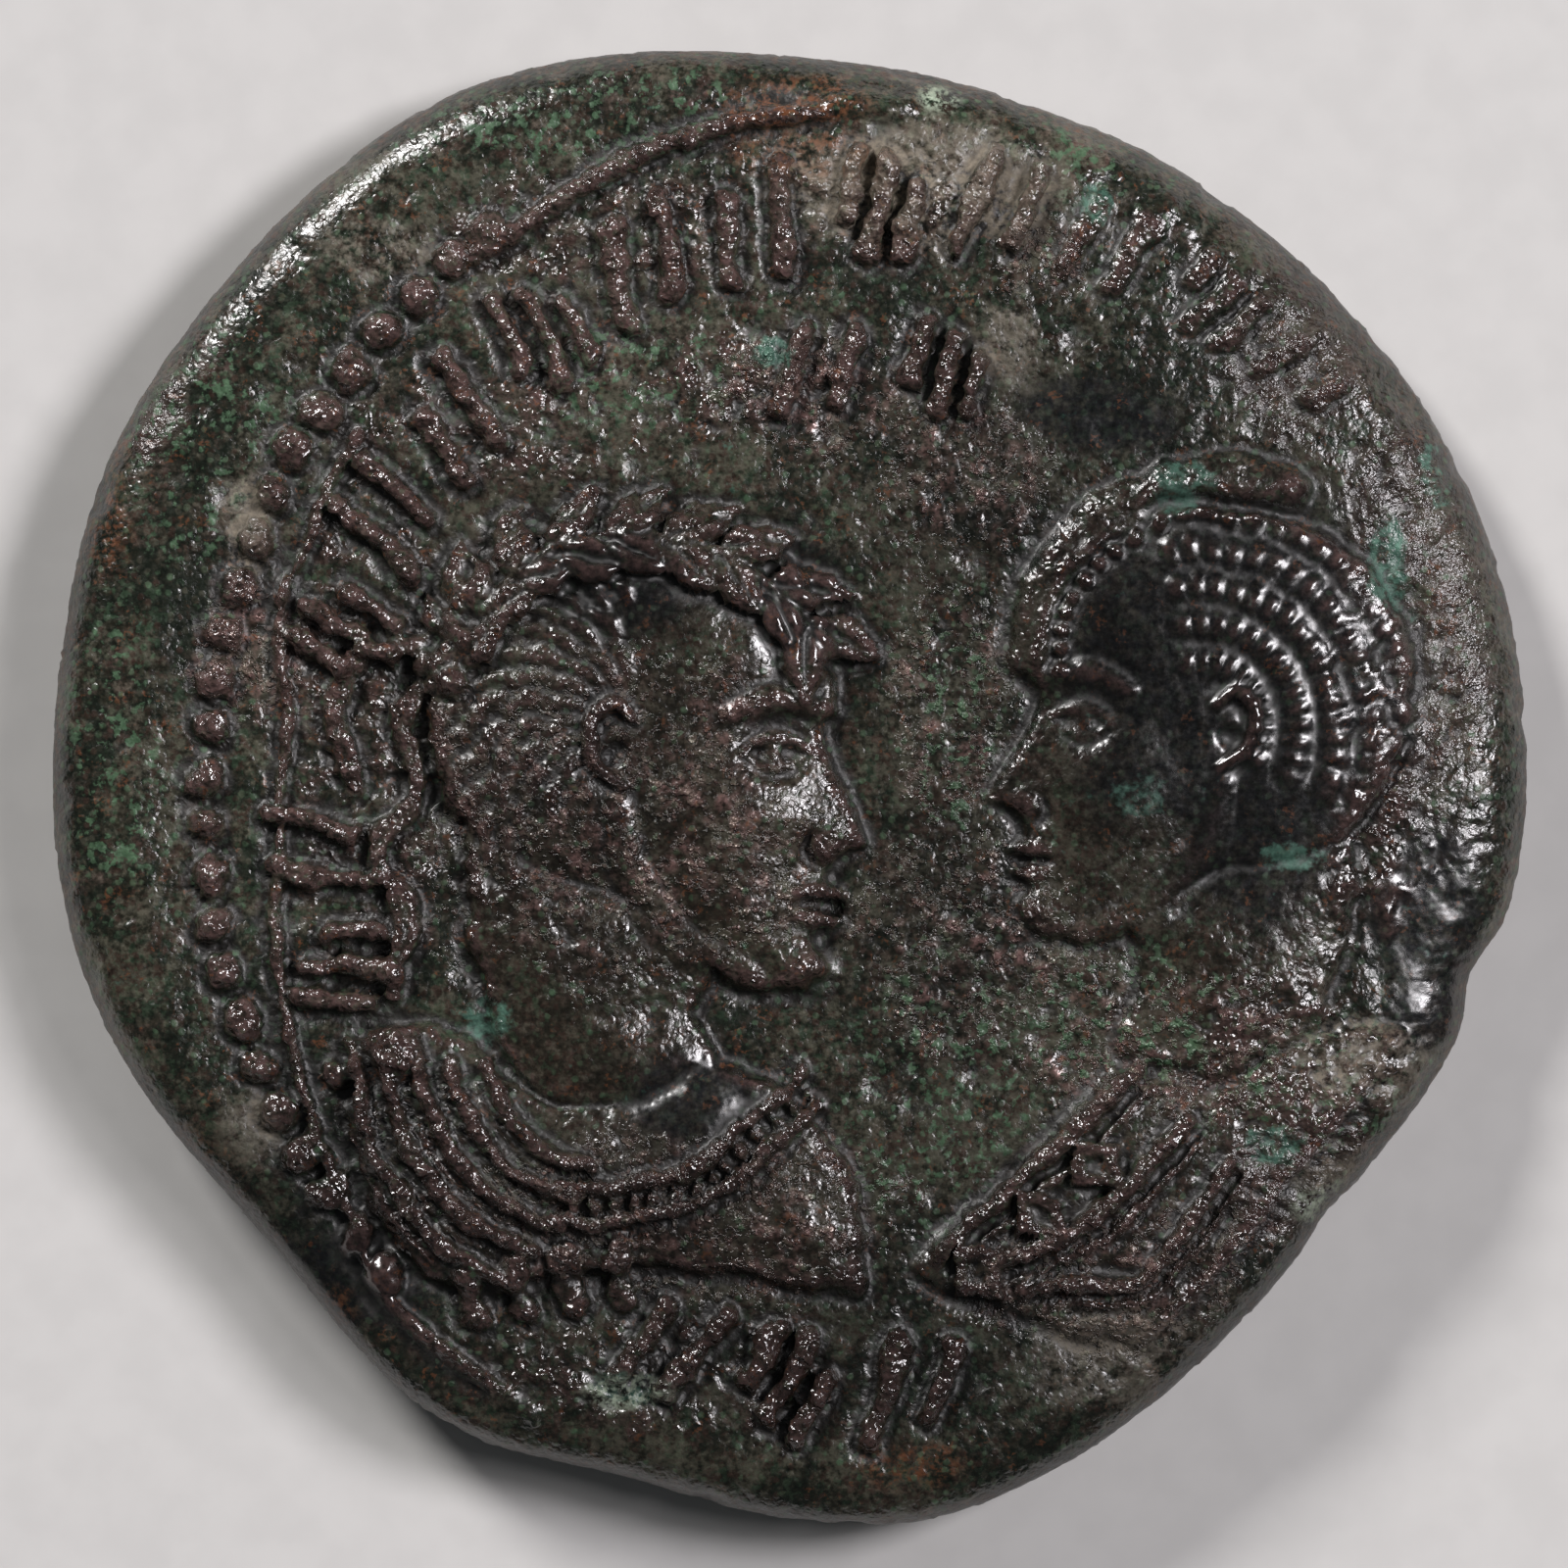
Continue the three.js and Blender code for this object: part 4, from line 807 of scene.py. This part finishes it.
def weather(points, faces, relief):
    x, y, z = points.T
    normals = vertexNormals(points, faces)
    up = smoothStep(0.25, 0.85, normals[:, 2])
    wall = 1 - smoothStep(0.3, 0.75, np.abs(normals[:, 2]))
    calmFace = 1 - 0.6 * faceShare(x, y) * up
    ragged = 0.35 * roughNoise(points, 1.1, 3, 31)
    masks = {name: smoothStep(0.3, 0.75, patches(surface[name], x, y) + ragged) * up
             for name in ("smooth", "grainy", "crinkled", "lumpy", "green", "teal", "soil", "copper", "pale")}
    calm = 1 - 0.85 * masks["smooth"]
    fromDie = np.hypot(x - obverse["die"][0], y - obverse["die"][1])
    margin = smoothStep(13.1, 13.9, fromDie) * (x < 3) * up
    crisp = relief - softened(relief, faces, 8)
    edged = smoothStep(0.012, 0.05, np.abs(crisp))
    crinkled = np.clip(masks["crinkled"] + 0.7 * edged * calm + 0.25 * masks["grainy"], 0, 1) * calmFace
    ridges = ridgeNoise(points, surface["ridgeSize"], 41)
    fineRidges = ridgeNoise(points, surface["fineRidgeSize"], 45)
    grains = grainNoise(points, surface["grainSize"], 0.8, 51)
    grains = grains * smoothStep(-0.4, 0.3, roughNoise(points, 0.8, 2, 71))
    struck = edged * (relief > 0.02)
    spread = np.clip(0.25 + 0.8 * masks["grainy"] + 0.3 * masks["green"] + 0.1 * crinkled, 0, 1) * calm
    spread = spread * (1 - 0.6 * struck)
    holes = grainNoise(points, surface["pitSize"], 0.14, 81) * (0.3 + 0.7 * calm) * calmFace
    bites = smoothStep(0.25, 0.7, roughNoise(points, surface["edgePitSize"], 4, 91)) * wall
    lift = surface["swell"] * softNoise(points, surface["swellSize"], 101) * calmFace
    lift += surface["rough"] * roughNoise(points, surface["roughSize"], 2, 111)
    lift += surface["ridge"] * ridges * masks["crinkled"] + surface["fineRidge"] * fineRidges * crinkled
    lift += surface["grain"] * grains * spread * calmFace
    lift += np.where(crisp > 0, surface["crispTop"], surface["crispFoot"]) * crisp
    lift -= surface["pit"] * holes + surface["edgePit"] * bites
    broken = np.clip(0.22 + 0.3 * struck + 0.45 * masks["crinkled"] + 0.1 * masks["grainy"], 0, 1)
    broken = broken * (1 - 0.8 * masks["smooth"]) * calmFace * (1 - 0.6 * margin)
    broken = np.clip(broken + 0.5 * masks["lumpy"], 0, 1)
    facets = mottleNoise(points, surface["facetSize"], 121)[1]
    facets += 0.5 * mottleNoise(points, surface["smallFacetSize"], 171)[1]
    lift += surface["facet"] * facets * broken
    crust = ridges * masks["crinkled"] + 0.8 * fineRidges * crinkled + smoothStep(0.01, 0.04, crisp)
    crust = np.clip(crust, 0, 1)
    del masks["crinkled"]  # the shape alone needs it
    # colour strength: lighter and darker patches, a painted highlight on the right rim, and the edge wall
    # painted darker as painted shade
    tone = 1 + 0.3 * patches(surface["lighterAndHighlight"], x, y) - 0.6 * patches(surface["dark"], x, y) - 0.25 * wall
    masks.update(grain=np.clip(grains * spread, 0, 1), crust=crust, wall=wall, tone=tone,
                 broad=roughNoise(points, 2.2, 3, 131), medium=roughNoise(points, 0.7, 3, 141),
                 mottle=mottleNoise(points, 0.42, 151)[0], speck=mottleNoise(points, 0.24, 161)[0])
    return points + normals * lift[:, None], masks


print("coin: striking the two faces")
points, faces, relief = coinShape()
middle = (points[:, :2].max(0) + points[:, :2].min(0)) / 2
lowest, highest = np.array(cadBox[0]) / mm, np.array(cadBox[1]) / mm
print("coin: wear and corrosion")
worn, masks = weather(points, faces, relief)
worn[:, :2] -= middle
worn = np.clip(worn, lowest, highest + (0, 0, surface["proud"]))
facing = vertexNormals(worn, faces)[:, 2]
dips = (softened(worn[:, 2], faces, 8) - worn[:, 2]) * facing  # how far a point lies under those around it
masks.update(relief=np.clip(relief / 0.6, 0, 1), hollow=smoothStep(0.004, 0.045, dips),
             crest=smoothStep(0.004, 0.04, -dips))
print("coin:", len(faces), "triangles")


def makeMesh(name, points, faces, masks):
    mesh = bpy.data.meshes.new(name)
    mesh.from_pydata((points * mm).tolist(), [], faces.tolist())
    for key, values in masks.items():
        mesh.attributes.new(key, "FLOAT", "POINT").data.foreach_set("value", values.astype(np.float32))
    mesh.shade_smooth()
    mesh.update()
    made = bpy.data.objects.new(name, mesh)
    bpy.context.collection.objects.link(made)
    return made


coin = makeMesh("struck_coin", worn, faces, masks)
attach(coin, "root")
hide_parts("coin")


# shader maths

class Wire:
    def __init__(self, tree, socket=None):
        self.tree = tree
        self.socket = socket

    # any node: its settings first, then the values or wires of its sockets
    def node(self, kind, settings=None, sockets=None, out=0):
        node = self.tree.nodes.new("ShaderNode" + kind)
        for name, value in (settings or {}).items():
            setattr(node, name, value)
        for name, value in (sockets or {}).items():
            if isinstance(value, Wire):
                self.tree.links.new(value.socket, node.inputs[name])
            else:
                node.inputs[name].default_value = value
        return Wire(self.tree, node.outputs[out] if node.outputs else None)

    # another output of the same node
    def beside(self, out):
        return Wire(self.tree, self.socket.node.outputs[out])

    def math(self, operation, *values):
        return self.node("Math", {"operation": operation}, dict(enumerate(values)))

    def __add__(self, other):
        return self.math("ADD", self, other)

    def __sub__(self, other):
        return self.math("SUBTRACT", self, other)

    def __rsub__(self, other):
        return self.math("SUBTRACT", other, self)

    def __mul__(self, other):
        return self.math("MULTIPLY", self, other)

    __radd__ = __add__
    __rmul__ = __mul__

    def clipped(self):
        return self.node("Clamp", sockets={"Value": self})

    # rises smoothly from 0 at low to 1 at high
    def step(self, low, high):
        return self.node("MapRange", {"interpolation_type": "SMOOTHSTEP"},
                         {"Value": self, "From Min": low, "From Max": high})

    # a colour on its way from one to another as this value goes from 0 to 1
    def blend(self, start, end):
        return self.node("Mix", {"data_type": "RGBA"}, {0: self, 6: start, 7: end}, out=2)


def emptyMaterial(name):
    material = bpy.data.materials.new(name)
    material.use_nodes = True
    material.node_tree.nodes.clear()
    return material, Wire(material.node_tree)


# finish: olive and brown patina, copper on the grains, verdigris and soil

patina = dict(
    olive=(0.025, 0.024, 0.015, 1), greyOlive=(0.07, 0.068, 0.048, 1), brown=(0.042, 0.024, 0.017, 1),
    deepGreen=(0.008, 0.013, 0.008, 1), black=(0.0095, 0.01, 0.011, 1), copper=(0.15, 0.088, 0.08, 1),
    ridge=(0.062, 0.037, 0.033, 1), worn=(0.13, 0.08, 0.074, 1), rust=(0.11, 0.042, 0.018, 1),
    green=(0.045, 0.088, 0.046, 1), teal=(0.08, 0.19, 0.14, 1), soil=(0.165, 0.14, 0.105, 1),
    pale=(0.3, 0.36, 0.27, 1),
    # near black for the hollows: partly dirt, partly painted shade
    dirtAndShade=(0.007, 0.006, 0.005, 1),
    gloss=0.24, specular=0.8, bumpDepth=0.00006,
)


def patinaMaterial():
    material, build = emptyMaterial("bronze_patina")
    place = build.node("TexCoord", out=3)
    place = build.node("VectorMath", {"operation": "SCALE"}, {0: place, "Scale": 1 / mm})  # to millimetres

    def mask(name):
        return build.node("Attribute", {"attribute_name": name}, out=2)

    def noise(scale, detail):
        return build.node("TexNoise", sockets={"Vector": place, "Scale": scale, "Detail": detail,
                                               "Roughness": 0.62})

    grain, hollow, crest, wall = mask("grain"), mask("hollow"), mask("crest"), mask("wall")
    smooth, grainy, crust, relief = mask("smooth"), mask("grainy"), mask("crust"), mask("relief")
    broad, medium, mottle, speck = mask("broad"), mask("medium"), mask("mottle"), mask("speck")
    small, tiny, wrinkle = noise(4.8, 3.0), noise(11.0, 2.0), noise(4.3, 1.0)
    shades = build.node("SeparateColor", sockets={"Color": small.beside(1)})
    second, third = shades.beside(1) - 0.5, shades.beside(2) - 0.5
    dots = build.node("TexVoronoi", sockets={"Vector": place, "Scale": 7.0})  # about 0.14 mm apart
    dotNumber = build.node("SeparateColor", sockets={"Color": dots.beside(1)})
    dot = 1 - dots.step(0.3, 0.62)
    fine = small * 0.6 + tiny * 0.4
    uneven = fine - 0.5

    colour = (medium + broad * 0.5 + uneven * 3.0).step(-0.3, 0.4).blend(patina["olive"], patina["greyOlive"])
    colour = ((mottle * 0.5 + second * 2.4).step(0.3, 0.6) * 0.75).blend(colour, patina["brown"])
    deep = (0.1 - broad * 0.4 - medium * 0.5 + third * 2.0).step(0.0, 0.3) * 0.85
    colour = deep.blend(colour, patina["deepGreen"])
    colour = (dot * dotNumber.step(0.72, 0.8) * 0.5).blend(colour, patina["greyOlive"])
    colour = (dot * (1 - dotNumber.step(0.2, 0.26)) * 0.7).blend(colour, patina["brown"])
    colour = (relief.step(0.1, 0.4) * 0.3).blend(colour, patina["brown"])
    # lumpy crust takes the ridge colour; on the right rim this is partly a painted highlight
    colour = (mask("lumpy") * (0.5 + third * 2.0)).clipped().blend(colour, patina["ridge"])
    colour = (smooth * (0.8 + second * 2.2)).clipped().blend(colour, patina["black"])
    colour = (crust * (fine * 3.4 - 0.95)).clipped().blend(colour, patina["ridge"])
    # painted shade and dirt: hollows around the relief are darkened towards near black
    colour = (hollow * 0.85).blend(colour, patina["dirtAndShade"])
    colour = (crest * relief.step(0.05, 0.3) * second.step(-0.1, 0.12) * 0.5).blend(colour, patina["worn"])

    dotted = (grainy * 1.5).clipped() * (1 - smooth) * (medium * 0.4 + third * 3.6).step(0.05, 0.4)
    dotted = (0.5 + 0.5 * dot) * dotted
    grainTone = (grain * (0.5 + 0.6 * grainy + 0.4 * crest) * fine.step(0.35, 0.6) + 0.75 * dotted).clipped()
    colour = grainTone.blend(colour, patina["copper"])
    rusty = (mask("copper") + wall * 0.4) * fine.step(0.44, 0.6)
    colour = rusty.clipped().blend(colour, patina["rust"])
    flecks = (0.16 - speck + uneven * 0.3).step(0.0, 0.1) * tiny.step(0.5, 0.62) * 0.7
    colour = flecks.blend(colour, patina["rust"])

    verdigris = mask("green")
    greenTone = (medium * 0.25 + third * 3.0 + (speck - 0.5) * 0.5).step(0.12, 0.4) * (verdigris * 0.7 + 0.25)
    greenTone = greenTone + dot * dotNumber.beside(1).step(0.88 - verdigris * 0.2, 0.94) * 0.6
    greenTone = greenTone.clipped() * (1 - 0.5 * crust) * (1 - 0.6 * smooth)
    colour = greenTone.blend(colour, patina["green"])
    tealTone = (mask("teal") + second * 2.6 + (mottle - 0.5) * 0.5 + medium * 0.4).step(0.5, 1.3) * 0.8
    colour = tealTone.blend(colour, patina["teal"])
    soilTone = mask("soil") * (0.5 + 0.7 * hollow) * (medium * 0.5 + uneven * 1.5 + 0.15).step(-0.1, 0.25)
    colour = soilTone.clipped().blend(colour, patina["soil"])
    paleTone = mask("pale") * fine.step(0.42, 0.56)
    colour = paleTone.blend(colour, patina["pale"])
    strength = (mask("tone") + 0.5 * grainTone + 0.4 * greenTone) * (3.2 * fine - 0.68)
    colour = build.node("VectorMath", {"operation": "SCALE"}, {0: colour, "Scale": strength})

    dull = (soilTone + 0.45 * greenTone + paleTone + 0.4 * tealTone).clipped()
    rough = patina["gloss"] + 0.3 * dull + 0.5 * uneven - 0.1 * crust + 0.3 * hollow + 0.15 * wall
    metal = (grainTone * 0.35).clipped()

    folds = build.math("ABSOLUTE", wrinkle - 0.5) * -4.0
    creases = build.math("ABSOLUTE", second) * -3.0
    height = tiny * 0.07 * (1 - smooth) + wrinkle * 0.25 + folds * (0.6 * crust + 0.1) * (1 - smooth)
    height = height + creases * (0.1 * crust + 0.3 * mask("lumpy") + 0.15 * wall + 0.09) * (1 - 0.8 * smooth)
    normal = build.node("Bump", sockets={"Strength": 1.0, "Distance": patina["bumpDepth"],
                                         "Height": height + 0.75 * dotted + 0.08 * dot * (1 - smooth)})

    shader = build.node("BsdfPrincipled", sockets={
        "Base Color": colour, "Roughness": rough, "Metallic": metal, "Normal": normal,
        "Specular IOR Level": patina["specular"]})
    build.node("OutputMaterial", sockets={"Surface": shader})
    return material


print("coin: patina")
coin.data.materials.append(patinaMaterial())


# table, lights and camera

table = dict(reach=1.6, colour=(0.72, 0.71, 0.69, 1), fleckColour=(0.684, 0.6745, 0.6555, 1),
             fleckScale=900.0, roughness=0.65)
lights = [  # name, compass direction, elevation, distance, size, watts, colour
    ("left_softbox", 128, 32, 0.6, 0.15, 2.6, (1.0, 0.975, 0.97)),
    ("right_softbox", 20, 47, 0.6, 0.17, 2.1, (1.0, 0.965, 1.0)),
    ("high_softbox", 8, 58, 0.6, 0.12, 0.35, (1.0, 0.965, 0.99)),
]
world = dict(colour=(0.8, 0.85, 0.9, 1), strength=0.06)
camera = dict(middle=(-0.12, 0.077), width=28.57, distance=300)


def makeTable():
    material, build = emptyMaterial("pale_table")
    place = build.node("TexCoord", out=3)
    fleck = build.node("TexNoise", sockets={"Vector": place, "Scale": table["fleckScale"], "Detail": 3.0})
    shade = fleck.step(0.3, 0.7).blend(table["colour"], table["fleckColour"])
    shader = build.node("BsdfPrincipled", sockets={"Base Color": shade, "Roughness": table["roughness"]})
    build.node("OutputMaterial", sockets={"Surface": shader})
    reach = table["reach"]
    corners = np.array([(-1, -1, 0), (1, -1, 0), (1, 1, 0), (-1, 1, 0)]) * reach / mm
    floor = makeMesh("table", corners, np.array([(0, 1, 2), (0, 2, 3)]), {})
    floor.data.materials.append(material)


def makeLights():
    for name, direction, elevation, distance, size, watts, colour in lights:
        lamp = bpy.data.lights.new(name, "AREA")
        lamp.shape = "DISK"
        lamp.size, lamp.energy, lamp.color = size, watts, colour
        holder = bpy.data.objects.new(name, lamp)
        out = distance * math.cos(elevation * degrees)
        holder.location = (*polar((0, 0), out, direction), distance * math.sin(elevation * degrees))
        holder.rotation_euler = ((90 - elevation) * degrees, 0, (direction + 90) * degrees)
        bpy.context.collection.objects.link(holder)
    sky = bpy.data.worlds.new("studio")
    sky.use_nodes = True
    sky.node_tree.nodes["Background"].inputs["Color"].default_value = world["colour"]
    sky.node_tree.nodes["Background"].inputs["Strength"].default_value = world["strength"]
    bpy.context.scene.world = sky
    bpy.context.scene.view_settings.view_transform = "Standard"


def makeCamera():
    lens = bpy.data.cameras.new("camera")
    lens.sensor_width = 36
    lens.lens = 36 * camera["distance"] / camera["width"]
    lens.clip_start, lens.clip_end = 0.01, 10
    holder = bpy.data.objects.new("camera", lens)
    face = flan["obverseField"]
    holder.location = (camera["middle"][0] * mm, camera["middle"][1] * mm, (camera["distance"] + face) * mm)
    bpy.context.collection.objects.link(holder)
    bpy.context.scene.camera = holder


print("coin: table, lights and camera")
makeTable()
makeLights()
makeCamera()
